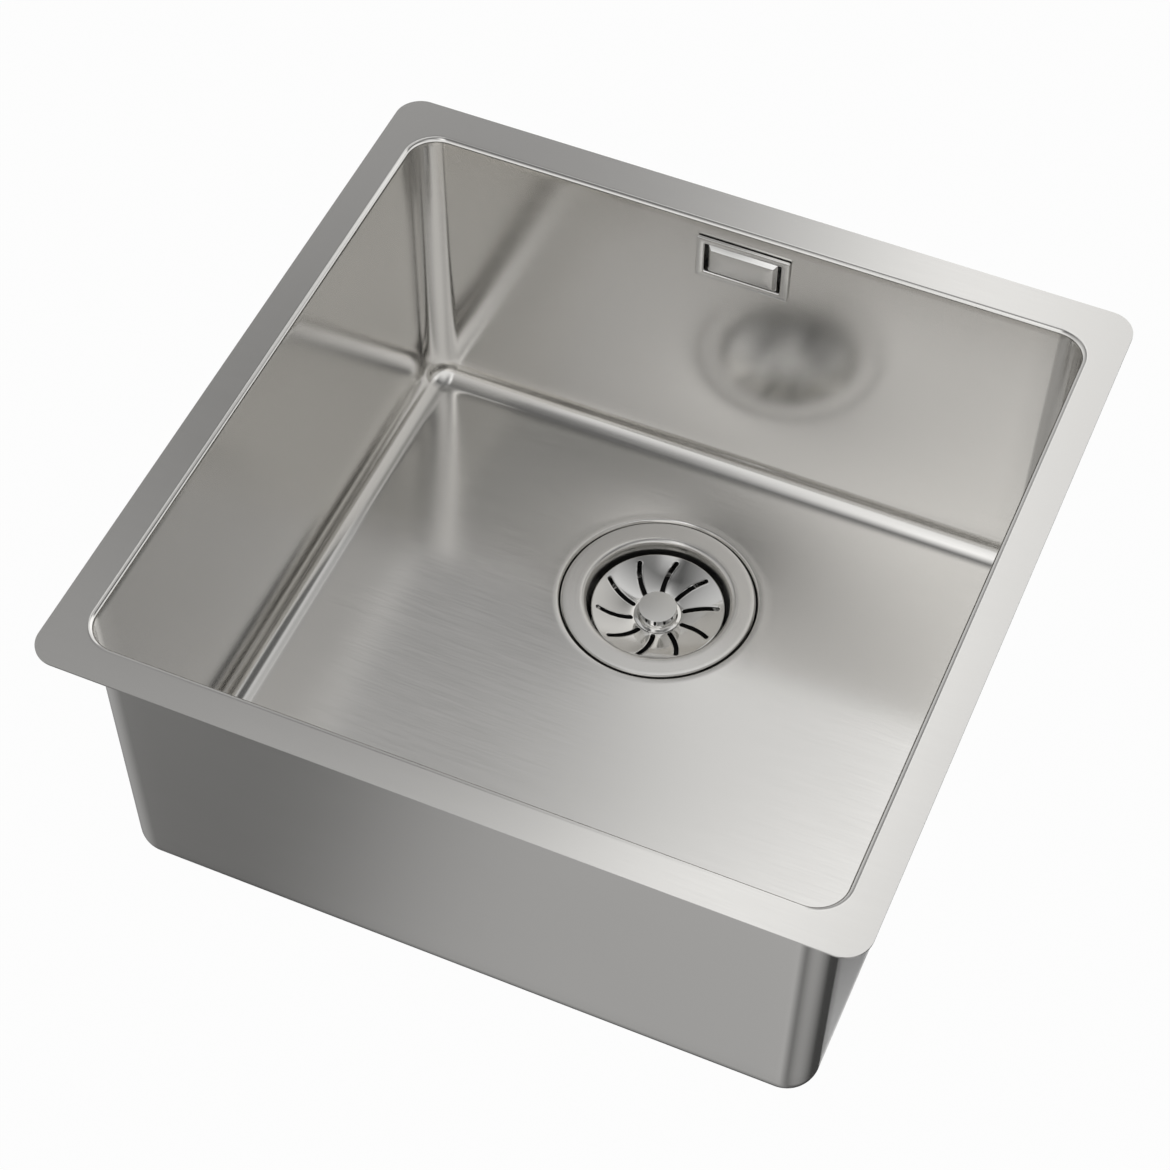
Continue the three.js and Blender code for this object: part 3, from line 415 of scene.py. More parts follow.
# One face of the sheet as rows from rim to recess. out is 0 for the inner face, the sheet for the outer one.
# The floor falls by the power "dish" of the share of its inset between its edge and the ring at the recess.
def bowlSkin(out):
    half = boxPoint("bowl", 1, 0, 0).x
    rim = np.insert(bowlOutline(half, half, bowl["rimCorner"]), 2, -out, axis=1)
    arc, radius = bowl["rimBend"], bowl["rimBend"] - out
    bend = [wallLevel(arc + radius * np.cos(a), radius * np.sin(a) - arc)
            for a in np.linspace(np.pi / 2, np.pi, 9)]
    flat = [rim + (bend[0] - rim) * share for share in (0, 0.03, 0.5, 0.97)]
    top, bottom = overflow.z + bowl["cutout"][1] / 2, overflow.z - bowl["cutout"][1] / 2
    arc, floorTop = bowl["floorFillet"], -bowl["height"]
    heights = np.concatenate([np.linspace(-bowl["rimBend"], top, 4)[1:], np.linspace(top, bottom, 5)[1:],
                              np.linspace(bottom, floorTop + arc, 16)[1:]])
    wall = [wallLevel(out, z) for z in heights]
    radius = arc + out
    fillet = [wallLevel(radius * np.cos(a) - arc, floorTop + arc + radius * np.sin(a))
              for a in np.linspace(2 * np.pi, 1.5 * np.pi, 15)[1:]]
    edge = fillet[-1]
    middle = np.array(drain)[:2]
    ways = edge[:, :2] - middle
    ways = ways / np.linalg.norm(ways, axis=1)[:, None]
    floorLow = floorTop - bowl["fall"]

    def ring(r, z):
        return np.insert(middle + r * ways, 2, z - out, axis=1)

    land = ring(bowl["land"], floorLow)
    floor = [edge + (land - edge) * share for share in np.linspace(0, 1, 25)[1:]]

    def inset(loop):
        return floorInset(loop[:, 0], loop[:, 1], edge)

    for loop in floor[:-1]:
        share = (inset(loop) - inset(edge)) / (inset(land) - inset(edge))
        loop[:, 2] = floorTop - out - bowl["fall"] * share ** bowl["dish"]
    pan = drain.z - bowl["recessDepth"]
    atTop, atBottom = bowl["recess"]
    path = roundedPath([(bowl["land"], floorLow, 0), (atTop + out, floorLow, bowl["recessBend"]),
                        (atBottom + out, pan, bowl["recessHeel"]), (bowl["hole"], pan, 0)], steps=6)
    recess = [ring(r, z) for r, z in path[1:]]
    cutoutRow = len(flat) + len(bend) + 2
    return np.array(flat + bend + wall + fillet + floor + recess), (cutoutRow, cutoutRow + 4)


# The bowl: both faces of the sheet, joined at the rim's edge and at the drain's hole. The cells of the
# overflow's opening are left out, and four strips between the faces close the sheet round it.
def makeBowl():
    inner, (top, bottom) = bowlSkin(0)
    outer, _ = bowlSkin(bowl["sheet"])
    points = np.concatenate([inner, outer[::-1]])
    onEdge = np.isclose(np.abs(inner[top, :, 0] - overflow.x), bowl["cutout"][0] / 2, atol=0.01 * mm)
    first, last = np.flatnonzero(onEdge & (inner[top, :, 1] > 0))[[0, -1]]
    keep = np.ones((len(points), points.shape[1]), bool)
    keep[top:bottom, first:last] = False
    keep[len(points) - 1 - bottom:len(points) - 1 - top, first:last] = False
    rows, columns = slice(top, bottom + 1), slice(first, last + 1)
    edges = [(top, columns), (bottom, columns), (rows, first), (rows, last)]
    walls = [{"points": np.stack([inner[where], outer[where]]), "wrapColumns": False} for where in edges]
    addPiece("bowlShell", [{"points": points, "wrapRows": True, "keep": keep}] + walls)


makeBowl()
print("bowl done")


# Strainer cup: the flange in the recess, its inner turn, the wall and the pierced floor
cup = inMetres({
    "flange": 57,
    "edge": 0.9,  # radius of its rolled-down edge
    "throat": 42.5,
    "bend": 3.5,
    "depth": 28,
    "taper": 1.3,
    "heel": 4,
    "floorStart": 26.4,
    "sheet": 0.8,
    "holeRadius": 4.5,
    "holeCircle": 21,
    "screwHole": 4.3,
}, holes=8)


# The cup: one turned sheet from its rolled edge to the screw's hole. A row through the holes opens by half
# a hole's chord there, the root of its radius squared less the distance from the circle squared.
def makeCup():
    side = roundedPath([(cup["flange"], 0, 0), (cup["throat"], 0, cup["bend"]),
                        (cup["throat"] - cup["taper"], -cup["depth"], cup["heel"]),
                        (cup["floorStart"], -cup["depth"], 0)], steps=12)
    roll = np.radians(np.linspace(0, 80, 6))
    edge = cup["flange"] - cup["edge"]
    rolled = np.column_stack([edge + cup["edge"] * np.cos(roll), cup["edge"] * (np.sin(roll) - 1)])
    flange = np.insert(np.linspace(edge, side[1, 0], 6)[:-1, None], 1, 0, axis=1)
    holeRows = cup["holeCircle"] + cup["holeRadius"] * np.cos(np.linspace(0, np.pi, 19))
    floor = np.concatenate([holeRows, np.linspace(holeRows[-1], cup["screwHole"], 8)[1:]])
    floor = np.insert(floor[:, None], 1, -cup["depth"], axis=1)
    radius, height = np.concatenate([rolled, flange, side[1:], floor]).T
    halfWidth = np.sqrt(np.clip(cup["holeRadius"] ** 2 - (radius - cup["holeCircle"]) ** 2, 0, None))
    halfWidth[:-len(floor)] = 0
    turn = np.full(len(radius), math.pi / cup["holes"])
    addPiece("strainerCup", piercedGrids(radius, height, drain, cup["holes"], halfWidth, turn, 16),
             [("SOLIDIFY", {"thickness": cup["sheet"], "offset": -1})])


makeCup()
print("strainer cup done")


# Lift-out plug: the dish with its curved slots, and the knob
dish = inMetres({
    "radius": 39.6,
    "drop": 8.3,  # its rim below the cup's flange
    "sink": 7.9,  # its hub below its rim
    "hub": 14.2,
    "screwHole": 2.3,
    "sheet": 0.8,
    "lip": 1.6,
    "edgeBreak": 0.12,
    "slotWidth": 3,
    "slotInner": 16.2,
    "slotOuter": 35.2,
}, slots=10, slotSweep=math.radians(9), slotStart=math.radians(31), sweepPower=1.6, slopePower=1.35)
knob = inMetres({
    "radius": 11.4,
    "foot": 14.1,
    "gap": 0.2,  # under the foot
    "footHeight": 0.5,
    "coveOut": 0.7,  # the hollow between foot and knob: its reach, and its heights over the foot
    "cove": (0.15, 0.9),
    "topEdge": 0.35,
    "height": 7.7,
})


# The dish: a turned sheet with a curled lip, whose height rises from the hub to the lip by a power of the
# share of the way. Each slot's middle turns back by a power of that share, and its ends are half circles.
def makeDish():
    curl = dish["lip"] / 2
    edge = dish["radius"] - curl
    curlTurn = np.radians(np.linspace(0, 62, 7))
    inner, outer, half = dish["slotInner"], dish["slotOuter"], dish["slotWidth"] / 2
    quarter = np.linspace(0, np.pi / 2, 8)
    slope = np.concatenate([np.linspace(edge, outer + half, 6)[:-1], outer + half * np.cos(quarter),
                            np.linspace(outer, inner, 26)[1:-1], inner - half * np.sin(quarter),
                            np.linspace(dish["hub"], dish["screwHole"], 10)])
    share = np.clip((slope - dish["hub"]) / (edge - dish["hub"]), 0, 1)
    radius = np.concatenate([[dish["radius"]], edge + curl * np.cos(curlTurn), slope])
    rise = np.concatenate([[-dish["lip"]], curl * (np.sin(curlTurn) - 1),
                           dish["sink"] * (share ** dish["slopePower"] - 1)])
    past = np.maximum(np.maximum(inner - radius, radius - outer), 0)
    halfWidth = np.sqrt(np.clip(half ** 2 - past ** 2, 0, None))
    along = np.clip((radius - inner) / (outer - inner), 0, 1)
    turn = dish["slotStart"] - dish["slotSweep"] * along ** dish["sweepPower"]
    grids = piercedGrids(radius, rise - dish["drop"], drain, dish["slots"], halfWidth, turn, 14)
    addPiece("strainerDish", grids, [
        ("SOLIDIFY", {"thickness": dish["sheet"], "offset": -1}),
        ("BEVEL", {"width": dish["edgeBreak"], "segments": 2, "limit_method": "ANGLE",
                   "angle_limit": math.radians(55)})])


# The knob: turned from its foot's middle to its top's middle. Faces at the top get the matt finish.
def makeKnob():
    foot = -dish["drop"] - dish["sink"] + knob["gap"]
    top, r, base = foot + knob["height"], knob["radius"], foot + knob["footHeight"]
    low, high = knob["cove"]
    path = roundedPath([(0, foot, 0), (knob["foot"], foot, hair),
                        (knob["foot"], base, knob["footHeight"] / 2),
                        (r + knob["coveOut"], base + low, crisp), (r, base + high, eased),
                        (r, top, knob["topEdge"]), (0, top, 0)], steps=8)
    mesh = addPiece("plugKnob", [turnedGrid(path, drain, turns=128, wrapRows=False)]).data
    mesh.materials.append(finishes["knobTop"])
    heights = np.array([face.center.z for face in mesh.polygons])
    mesh.polygons.foreach_set("material_index", (heights > drain.z + top - 0.08 * mm).astype(np.int32))


makeDish()
makeKnob()
print("plug done")


# Overflow: the frame with its throat and bar, and the pressed cover
overflowFrame = inMetres({
    "throat": (46, 21.5),
    "border": (5, 4.25),  # of the frame round the throat
    "mouthBend": 1,
    "thickness": 1.6,
    "sleeve": 10,  # behind the frame
    "sleeveWall": 1,
    "corner": 1,
    "bar": (11, 2),  # width and thickness
    "barPlace": 5,  # behind the frame's face
    "wallRear": 3.07,  # rear face of the bowl's wall, behind the frame's face
})
cover = inMetres({
    "size": (41.8, 20.6),
    "corner": 0.8,
    "proud": 1.1,
    "bevel": 2.2,
    "sheet": 0.8,
    "tongueX": 13,
    "tongueWidth": 6,
    "tongueThickness": 1,
    "tongueReach": 7,
    "tongueBow": 3,
    "tongueGap": 0.3,  # between its bow and the throat
})


# A rectangle round the overflow for each (growth, place along Y) of a path: its half size is (halfX, halfZ)
# and the growth, which along Z is times growZ. Its corner grows too, up to roundest.
def rectangleStack(path, halfX, halfZ, corner, growZ=1, roundest=1 * mm):
    loops = []
    for grow, y in path:
        loop = rectangleLoop(max(halfX + grow, 0), max(halfZ + grow * growZ, 0),
                             min(max(corner + grow, crisp), roundest), cornerSteps=5)
        loops.append(np.insert(loop + [overflow.x, overflow.z], 1, overflow.y + y, axis=1))
    return np.array(loops)


# The frame: its section, from border to sleeve, carried round the throat, and the bar across the throat.
def makeOverflowFrame():
    width, height = overflowFrame["throat"]
    (side, above), thick = overflowFrame["border"], overflowFrame["thickness"]
    end, wall = thick + overflowFrame["sleeve"], overflowFrame["sleeveWall"]
    path = roundedPath([(side, thick, crisp), (side, 0, soft), (0, 0, overflowFrame["mouthBend"]),
                        (0, end, crisp), (wall, end, crisp), (wall, thick, hair)], closed=True)
    loops = rectangleStack(path, width / 2, height / 2, overflowFrame["corner"], above / side)
    barWidth, barThickness = overflowFrame["bar"]
    start, half = overflow.y + overflowFrame["barPlace"], height / 2 + wall / 2
    low, high = overflow.z - half, overflow.z + half
    bar = np.array([(start, low), (start + barThickness, low), (start + barThickness, high), (start, high)])
    addPiece("overflowFrame", [{"points": loops, "wrapRows": True},
                               barGrid(bar, overflow.x - barWidth / 2, overflow.x + barWidth / 2, 0)])


# The cover: its section carried round, from the middle of its face to the middle of its back, and four bowed
# tongues that grip the throat.
def makeCover():
    (width, height), sheet, bevel = cover["size"], cover["sheet"], cover["bevel"]
    face, back = -cover["proud"], overflowFrame["thickness"]
    path = roundedPath([(-height / 2, face, 0), (-bevel, face, soft), (0, face + bevel, eased),
                        (0, back, hair), (-sheet, back, hair), (-sheet, face + bevel + sheet, crisp),
                        (-bevel - sheet, face + sheet, dull), (-height / 2, face + sheet, 0)])
    grids = [{"points": rectangleStack(path, width / 2, height / 2, cover["corner"])}]
    top, thick, bow = height / 2 - sheet / 4, cover["tongueThickness"], cover["tongueBow"]
    start, reach = face + bevel, back + cover["tongueReach"]
    grip = overflowFrame["throat"][1] / 2 - cover["tongueGap"]
    tongue = roundedPath([(start, top - thick, 0), (reach, top - thick, crisp), (reach, top, dull),
                          (reach - bow / 2, grip, 1 * mm), (reach - bow, top, 1 * mm), (start, top, 0)],
                         closed=True)
    for side in (-1, 1):
        for upward in (-1, 1):
            section = tongue * [1, upward] + [overflow.y, overflow.z]
            middle, half = overflow.x + side * cover["tongueX"], cover["tongueWidth"] / 2
            grids.append(barGrid(section, middle - half, middle + half, 0))
    addPiece("overflowCover", grids)


makeOverflowFrame()
makeCover()
print("overflow done")


# Waste fitting under the floor: the body with its inlet and ribs, and the tail.
# Heights are from the strainer's flange.
waste = inMetres({
    "inner": 45,
    "wall": 2.8,
    "top": -7.5,
    "rim": (55, -11),  # radius, and height of its underside
    "rimRoot": -17,
    "bottom": -54,
    "boss": (11, -31, -46),  # radius, and heights of its top and its foot
    "ribSize": (4, -33),  # thickness, and height of the top
    "screwHole": 4.3,
    "hexagon": (6.7, -36.8),  # the insert's pocket: radius over corners, and its end
    "inlet": (71.8, -38.5),  # the mouth: from the drain's axis, and its middle's height
    "tailRing": (41.9, 44.7, -47.7),  # both radii, and the top
    "tailEdge": (47.8, -54.2, -57),  # radius, top and underside
    "tailFoot": (26.7, -61.8),  # where the cone ends: radius and height
    "outlet": (19.5, 23.9, -87),  # bore, radius over the thread, and height of the end
    "threadStart": 0.8,  # from the outlet's end
    "threadEnd": 0.6,  # from the cone
    "pitch": 2.309,  # 11 threads to the inch
    "threadDepth": 1.1,
}, ribs=3)
spigot = inMetres({
    "radius": 13,
    "bore": 8.5,
    "socket": (10.3, 13.3),  # radius and depth
    "collar": (14.2, 16),  # radius, and where it starts from the mouth
    "length": 26,
    "threadInset": 0.6,  # from the mouth, and from the collar
    "pitch": 2.309,
    "threadDepth": 0.8,
})


# A spigot from its mouth inwards, with a thread up to its collar. It ends inside the wall it stands on.
def spigotGrid(mouth, inward):
    socket, depth = spigot["socket"]
    collar, start = spigot["collar"]
    r, first, last = spigot["radius"], spigot["threadInset"], start - spigot["threadInset"]
    bore, length = spigot["bore"], spigot["length"]
    rest = roundedPath([(r, last, 0), (r, start, crisp), (collar, start, eased), (collar, length, 0),
                        (bore, length, 0), (bore, depth, 0), (socket, depth, crisp), (socket, 0, crisp),
                        (r - eased, 0, crisp), (r, first, 0)])
    return threadedGrid(rest, r, first, last, spigot, mouth, inward)


# The body: a turned cup, the spigot of its inlet, and a boss on ribs. The boss's hole ends in a hexagon,
# whose radius at an angle is the flat's distance over the cosine of the angle from that flat's middle.
def makeWasteBody():
    inner, outer, bottom = waste["inner"], waste["inner"] + waste["wall"], waste["bottom"]
    (rim, rimUnder), top = waste["rim"], waste["top"]
    shell = roundedPath([(inner, top, eased), (rim, top, soft), (rim, rimUnder, full),
                         (outer, waste["rimRoot"], 2 * mm), (outer, bottom, eased), (inner, bottom, eased)],
                        closed=True, steps=6)
    boss, bossTop, bossBottom = waste["boss"]
    (hexagon, pocketEnd), hole = waste["hexagon"], waste["screwHole"]
    path = roundedPath([(hole, bossTop, 0), (boss, bossTop, blunt), (boss, bossBottom, blunt),
                        (hexagon, bossBottom, 0), (hexagon, pocketEnd, 0), (hole, pocketEnd, 0)], closed=True)
    angle = np.linspace(0, 2 * np.pi, 96, endpoint=False)
    flat = hexagon * (math.cos(math.pi / 6) / np.cos((angle + np.pi / 6) % (np.pi / 3) - np.pi / 6) - 1)
    inPocket = np.isclose(path[:, 0], hexagon)[:, None]
    grids = [turnedGrid(shell, drain, turns=160),
             spigotGrid(drain + Vector((0, *waste["inlet"])), (0, -1, 0)),
             turnedGrid(path, drain, swell=np.where(inPocket, flat[None, :], 0))]
    thickness, ribTop = waste["ribSize"]
    start, end = 0.8 * boss, inner + waste["wall"] / 2
    for turn in (math.radians(360 * i / waste["ribs"] - 90) for i in range(waste["ribs"])):
        rib = rectangleLoop((end - start) / 2, thickness / 2, hair, cornerSteps=2) + [(start + end) / 2, 0]
        across = [(math.cos(turn), math.sin(turn)), (-math.sin(turn), math.cos(turn))]
        grids.append(barGrid(rib @ across + drain[:2], drain.z + bossBottom, drain.z + ribTop, 2))
    addPiece("wasteBody", grids)


# The tail: its ring inside the body, a shallow cone and the threaded outlet, turned in one.
def makeWasteTail():
    ringInner, ringOuter, ringTop = waste["tailRing"]
    edge, edgeTop, edgeUnder = waste["tailEdge"]
    foot, footZ = waste["tailFoot"]
    bore, crest, end = waste["outlet"]
    first, last = end + waste["threadStart"], footZ - waste["threadEnd"]
    rest = roundedPath([(crest, last, 0), (crest, footZ, crisp), (foot, footZ, full),
                        (edge, edgeUnder, 1.2 * mm), (edge, edgeTop, dull), (ringOuter, edgeTop, 0),
                        (ringOuter, ringTop, soft), (ringInner, ringTop, soft), (ringInner, edgeTop, 2 * mm),
                        (bore, footZ + waste["wall"], 1.5 * mm), (bore, end, soft),
                        (crest - blunt, end, dull), (crest, first, 0)], steps=5)
    addPiece("wasteTail", [threadedGrid(rest, crest, first, last, waste, drain, turns=160)])


makeWasteBody()
makeWasteTail()
print("waste body done")


# Overflow pipe, its two union nuts, and the housing
pipe = inMetres({
    "radius": 10,
    "bore": 8.5,
    "bend": 32,
})
nut = inMetres({
    "inner": 13.3,
    "outer": 16.5,
    "height": 15,
    "capInside": 12,
    "hole": 10.3,
    "fluteRadius": 1.6,
    "fluteDepth": 0.9,
    "fluteStart": 1,  # from the open end, as the next one is
    "fluteEnd": 12.4,
}, flutes=12)
housing = inMetres({
    "front": 3.27,  # from the rear face of the bowl's wall, as the next ones are
    "flangeBack": 6.27,
    "back": 27,
    "outlet": 18.3,
    "gasket": (0.47, 3.07),
    "flange": 6.5,  # beyond the throat, as the next two are
    "shell": 3.5,
    "cavity": 1.3,
    "wall": 2.2,
    "corner": 4.5,
})


# The pipe: rings of both radii across a bent middle line in the plane X = 0.
def makePipe():
    low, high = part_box("overflow_pipe")
    r = pipe["radius"]
    spine = roundedPath([(high[1] - r, high[2], 0), (high[1] - r, low[2] + r, pipe["bend"]),
                         (low[1], low[2] + r, 0)], steps=28)
    ways = np.gradient(spine, axis=0)
    ways[0], ways[-1] = (0, -1), (-1, 0)
    ways = ways / np.linalg.norm(ways, axis=1)[:, None]
    angle = np.linspace(0, 2 * np.pi, 64, endpoint=False)[None, :]

    def skin(radius):
        across = radius * np.sin(angle)
        return np.stack([overflow.x + radius * np.cos(angle) + 0 * ways[:, :1],
                         spine[:, :1] - across * ways[:, 1:], spine[:, 1:] + across * ways[:, :1]], -1)

    points = np.concatenate([skin(r), skin(pipe["bore"])[::-1]])
    addPiece("overflowPipe", [{"points": points, "wrapRows": True}])


# A union nut from its open end along its axis. Circles hollow its outside: the radius there is the nearer at
# which a ray meets the circle, and the hollows fade out over their last millimetre.
def makeNut(name, mouth, axis):
    inner, outer, height, hole = nut["inner"], nut["outer"], nut["height"], nut["hole"]
    start, end, cap = nut["fluteStart"], nut["fluteEnd"], nut["capInside"]
    rest = roundedPath([(outer, end, 0), (outer, height, 1.6 * mm), (hole, height, eased), (hole, cap, crisp),
                        (inner, cap, soft), (inner, 0, dull), (outer, 0, full), (outer, start, 0)], steps=5)
    path = np.concatenate([rest, np.insert(np.linspace(start, end, 14)[1:-1, None], 0, outer, axis=1)])
    turns, sector = 24 * nut["flutes"], 2 * math.pi / nut["flutes"]
    angle = (np.linspace(0, 2 * np.pi, turns, endpoint=False)[None, :] + sector / 2) % sector - sector / 2
    middle = outer + nut["fluteRadius"] - nut["fluteDepth"]
    inside = np.clip(nut["fluteRadius"] ** 2 - (middle * np.sin(angle)) ** 2, 0, None)
    hollow = np.where(inside > 0, middle * np.cos(angle) - np.sqrt(inside), outer)
    fade = np.sqrt(np.clip((end - path[:, 1:]) / mm, 0, 1)) * (path[:, :1] > (inner + outer) / 2)
    swell = np.minimum(hollow - path[:, :1], 0) * fade
    addPiece(name, [turnedGrid(path, mouth, axis, turns, swell=swell)])


# The housing: a section from its back's middle over its flange into its cavity, carried round the throat,
# and the spigot of its outlet. Its gasket is carried round the same way.
def makeHousing():
    width, height = overflowFrame["throat"]
    halfX, halfZ, wallRear = width / 2, height / 2, overflowFrame["wallRear"]
    front, flangeBack, back = housing["front"], housing["flangeBack"], housing["back"]
    flange, shell, cavity = housing["flange"], housing["shell"], housing["cavity"]
    inside = back - housing["wall"]
    path = roundedPath([(-halfZ, back, 0), (shell, back, 2 * mm), (shell, flangeBack, 1 * mm),
                        (flange, flangeBack, soft), (flange, front, dull), (cavity, front, 0),
                        (cavity, inside, 1 * mm), (-halfZ, inside, 0)], steps=5)
    corners = {"corner": overflowFrame["corner"], "roundest": housing["corner"]}
    box = rectangleStack(path + [0, wallRear], halfX, halfZ, **corners)
    mouth = (overflow.x, overflow.y + wallRear + housing["outlet"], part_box("overflow_housing")[0][2])
    addPiece("overflowHousing", [{"points": box}, spigotGrid(mouth, (0, 0, 1))])
    (front, back), edge = housing["gasket"], flange - 0.15 * mm
    path = roundedPath([(edge, front, eased), (edge, back, eased), (cavity, back, dull),
                        (cavity, front, dull)], closed=True)
    ring = rectangleStack(path + [0, wallRear], halfX, halfZ, **corners)
    addPiece("overflowGasket", [{"points": ring, "wrapRows": True}])


makePipe()
makeNut("upperUnionNut", boxPoint("upper_union_nut", 0.5, 0.5, 1), (0, 0, -1))
makeNut("lowerUnionNut", boxPoint("lower_union_nut", 0.5, 0, 0.5), (0, 1, 0))
makeHousing()
print("overflow pipe done")


# Gasket under the steel, the plug's stem and seal, and the damping sheet.
# Corners are (radius, height from the strainer's flange, rounding), in millimetres.
rings = {
    "bodyGasket": [(46.5, -7.3, 0.4), (54.5, -7.3, 0.4), (54.5, -5.3, 0.6), (52.5, -3.3, 0.6),
                   (48.5, -3.3, 0.6), (46.5, -5.3, 0.6)],
    "plugStem": [(7.3, -27.8, 0.3), (11.5, -27.8, 0.5), (11.5, -24.8, 0.4), (9.5, -24.8, 0.1),
                 (9.5, -22.2, 0.1), (12, -22.2, 0.4), (12, -17.2, 0.6), (2.3, -17.2, 0.2), (2.3, -21.4, 0.1),
                 (7.3, -21.4, 0.4)],
    "plugSeal": [(9.8, -24.6, 0.2), (32.5, -24.6, 0.6), (34.5, -27.8, 0.2), (36.5, -27.8, 0.3),
                 (34.5, -22.4, 0.8), (9.8, -22.4, 0.2)],
}
damping = inMetres({
    "size": (300, 150),
    "corner": 20,
    "middle": -73.4,  # along Y
    "thickness": 2.5,
    "bevel": 0.5,
    "gap": 0.2,  # under the steel
})


# Height of the floor's top face at (x, y), by the floor's own rule. The edge's inset is read by angle.
def floorHeight(x, y):
    edge = wallLevel(-bowl["floorFillet"], -bowl["height"])
    turn = np.arctan2(edge[:, 1] - drain.y, edge[:, 0] - drain.x)
    order = np.argsort(turn)
    angle = np.arctan2(y - drain.y, x - drain.x)
    rim = np.interp(angle, turn[order], floorInset(edge[:, 0], edge[:, 1], edge)[order], period=2 * np.pi)
    land = floorInset(drain.x + bowl["land"] * np.cos(angle), drain.y + bowl["land"] * np.sin(angle), edge)
    share = np.clip((floorInset(x, y, edge) - rim) / (land - rim), 0, 1)
    return -bowl["height"] - bowl["fall"] * share ** bowl["dish"]


# The damping sheet: loops that shrink to its middle, laid under the floor, and again lower down.
def makeDamping():
    halfX, halfY = damping["size"][0] / 2, damping["size"][1] / 2
    outline = rectangleLoop(halfX, halfY, damping["corner"], shares=np.linspace(0.8, -0.8, 17))

    def layer(down, shrink):
        loops = [outline * [1 - s - shrink / halfX, 1 - s - shrink / halfY] for s in np.linspace(0, 1, 12)]
        points = np.array(loops) + [0, damping["middle"]]
        points[-1] = (0, damping["middle"])
        z = floorHeight(points[..., 0], points[..., 1]) - bowl["sheet"] - damping["gap"] - down
        return np.concatenate([points, z[..., None]], -1)

    thickness, bevel = damping["thickness"], damping["bevel"]
    rows = np.concatenate([layer(0, 0)[::-1], layer(thickness - bevel, 0)[:1], layer(thickness, bevel)])
    addPiece("dampingSheet", [{"points": rows}])


for name, corners in rings.items():
    path = roundedPath(np.multiply(corners, mm), closed=True, steps=5)
    addPiece(name, [turnedGrid(path, drain, turns=128)])
makeDamping()
print("gaskets, stem and damping sheet done")


# Studio: a pale floor well below the hung sink, a soft room and the camera
studio = {
    "floorHeight": -3.5,
    "floorWidths": (2.2, 2.95),  # at its near and far edges
    "floorDepth": 3.3,
    "floorMiddle": (-1.13, 2.68),
    "floorTurn": math.radians(22.8),
    "floorColour": (0.85, 0.85, 0.85, 1),
    "floorRoughness": 0.8,
    "whiteness": 0.95,  # how far the seen floor is white whatever falls on it
    "horizon": (-0.3, 0.2),  # heights between which the low rows go over into the sky's
    # the room's light: rows of (how far a direction points along X, level), each at its place along Y
    "skyRows": {
        -0.9: [(-1, 1.1), (1, 1.1)],
        -0.5: [(-1, 1), (-0.5, 0.5), (-0.31, 0.36), (-0.25, 0.1), (-0.2, 0.4), (-0.15, 1.4), (-0.1, 1.7),
               (0, 1.4), (0.1, 0.5), (0.2, 0.3), (0.4, 0.9), (1, 1.1)],
        0: [(-1, 1), (-0.4, 0.2), (-0.3, 0.1), (0, 0.2), (0.4, 0.2), (0.7, 0.1), (0.8, 1.1)],
        0.44: [(-1, 1), (-0.5, 0.5), (-0.38, 0.38), (-0.24, 1), (-0.19, 1.5), (-0.12, 1), (0, 0.8),
               (0.4, 0.8), (0.48, 0.1), (0.72, 0.1), (0.8, 1.1)],
        0.55: [(-1, 1), (-0.5, 0.4), (-0.38, 0.3), (-0.3, 0.06), (-0.23, 0.06), (-0.18, 1.2), (-0.14, 1.5),
               (-0.08, 0.8), (0, 0.4), (0.2, 0.3), (0.4, 0.8), (0.48, 0.1), (0.72, 0.1), (0.8, 1.1)],
        0.66: [(-1, 1), (-0.28, 0.4), (-0.22, 0.5), (-0.15, 1.4), (-0.08, 0.9), (0.2, 1.4), (0.4, 1.5),
               (1, 1.1)],
    },
    "lowRows": {
        -0.9: [(-1, 1), (1, 1)],
        -0.65: [(-1, 0.9), (-0.6, 0.4), (-0.36, 0.2), (-0.18, 0.55), (0.05, 0.45), (0.2, 0.2), (0.6, 0.9)],
        -0.5: [(-1, 0.9), (-0.6, 0.4), (-0.3, 0.17), (-0.24, 0.5), (0, 0.55), (0.2, 0.2), (0.6, 0.9)],
        0.2: [(-1, 0.9), (-0.5, 0.3), (-0.3, 0.06), (0.5, 0.05), (0.8, 0.9)],
        0.7: [(-1, 0.9), (-0.5, 0.3), (-0.3, 0.06), (0.5, 0.05), (0.8, 0.9)],
        0.9: [(-1, 1), (1, 1)],
    },
}
camera = {
    "place": (360.35 * mm, -894.3 * mm, 1149.83 * mm),
    "aim": (-13.79 * mm, 3.31 * mm, -100 * mm),
    "fieldOfView": math.radians(22.8434),
    "roll": math.radians(0.8853),
    "farthest": 20,
}


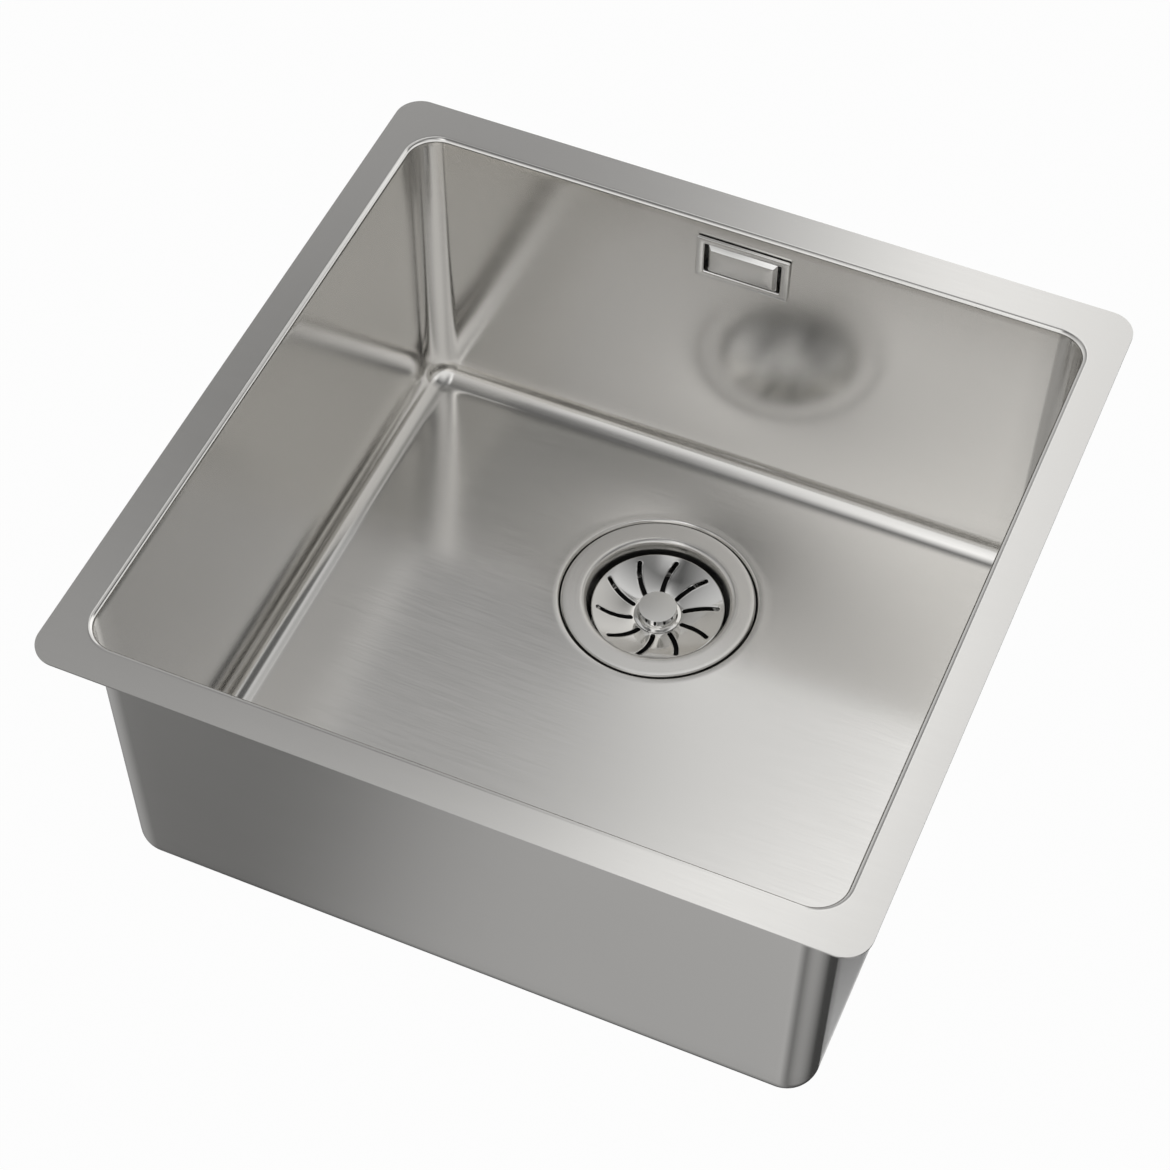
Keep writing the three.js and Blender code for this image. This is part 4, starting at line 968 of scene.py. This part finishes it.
# The floor: one flat face that fills the view. A camera, glossy or transmission ray sees it mostly plain
# white, and the rest keeps the light and the shadow that fall on it.
def makeFloor():
    near, far = [width / 2 for width in studio["floorWidths"]]
    d = studio["floorDepth"] / 2
    mesh = bpy.data.meshes.new("studioFloor")
    mesh.from_pydata([(-near, -d, 0), (near, -d, 0), (far, d, 0), (-far, d, 0)], [], [(0, 1, 2, 3)])
    floor = addObject("studioFloor", mesh)
    floor.location = (*studio["floorMiddle"], studio["floorHeight"])
    floor.rotation_euler[2] = studio["floorTurn"]
    material = bpy.data.materials.new("paleFloor")
    material.use_nodes = True
    tree = material.node_tree
    shader = tree.nodes["Principled BSDF"]
    shader.inputs["Base Color"].default_value = studio["floorColour"]
    shader.inputs["Roughness"].default_value = studio["floorRoughness"]
    white = addNode(tree, "Emission", {"Color": (1, 1, 1, 1), "Strength": 1.0})
    light = addNode(tree, "LightPath").outputs
    seen = light["Is Camera Ray"]
    for kind in ("Is Glossy Ray", "Is Transmission Ray"):
        seen = addNode(tree, "Math", {0: seen, 1: light[kind]}, operation="MAXIMUM").outputs[0]
    share = addNode(tree, "Math", {0: seen, 1: studio["whiteness"]}, operation="MULTIPLY")
    mix = addNode(tree, "MixShader", {0: share.outputs[0], 1: shader.outputs[0], 2: white.outputs[0]})
    tree.links.new(mix.outputs[0], tree.nodes["Material Output"].inputs["Surface"])
    mesh.materials.append(material)


# Grey levels by a value from -1 to 1.
def levelRamp(tree, value, stops):
    share = addNode(tree, "MapRange", {"Value": value, "From Min": -1.0, "From Max": 1.0})
    ramp = addNode(tree, "ValToRGB", {0: share.outputs[0]})
    elements = ramp.color_ramp.elements
    while len(elements) < len(stops):
        elements.new(0.5)
    for element, (place, level) in zip(elements, stops):
        element.position = (place + 1) / 2
        element.color = (level, level, level, 1)
    return ramp.outputs["Color"]


# One colour over into another as a value goes from low to high.
def between(tree, value, low, high, first, second):
    share = addNode(tree, "MapRange", {"Value": value, "From Min": low, "From Max": high})
    mix = addNode(tree, "Mix", {0: share.outputs[0], 6: first, 7: second}, data_type="RGBA")
    return mix.outputs[2]


# Level ramps along X, blended along Y from each row's place to the next one's.
def rowsBlended(tree, x, y, rows):
    places = sorted(rows)
    blended = levelRamp(tree, x, rows[places[0]])
    for first, second in zip(places, places[1:]):
        blended = between(tree, y, first, second, blended, levelRamp(tree, x, rows[second]))
    return blended


# The room: rows of light above the horizon and below it.
def makeWorld():
    world = bpy.data.worlds.new("studioRoom")
    bpy.context.scene.world = world
    world.use_nodes = True
    tree = world.node_tree
    direction = addNode(tree, "TexCoord")
    x, y, z = addNode(tree, "SeparateXYZ", {0: direction.outputs["Generated"]}).outputs
    sky = rowsBlended(tree, x, y, studio["skyRows"])
    low = rowsBlended(tree, x, y, studio["lowRows"])
    room = between(tree, z, *studio["horizon"], low, sky)
    tree.links.new(room, tree.nodes["Background"].inputs["Color"])


# The camera: at its place, looking at its aim, then rolled about its own axis.
def addCamera():
    lens = bpy.data.cameras.new("camera")
    lens.sensor_fit = "HORIZONTAL"
    lens.angle = camera["fieldOfView"]
    lens.clip_end = camera["farthest"]
    eye = addObject("camera", lens)
    look = (Vector(camera["aim"]) - Vector(camera["place"])).to_track_quat("-Z", "Y")
    eye.matrix_world = (Matrix.Translation(camera["place"]) @ look.to_matrix().to_4x4()
                        @ Matrix.Rotation(camera["roll"], 4, "Z"))
    bpy.context.scene.camera = eye


makeFloor()
makeWorld()
addCamera()
bpy.context.scene.view_settings.view_transform = "Standard"
print("studio done")
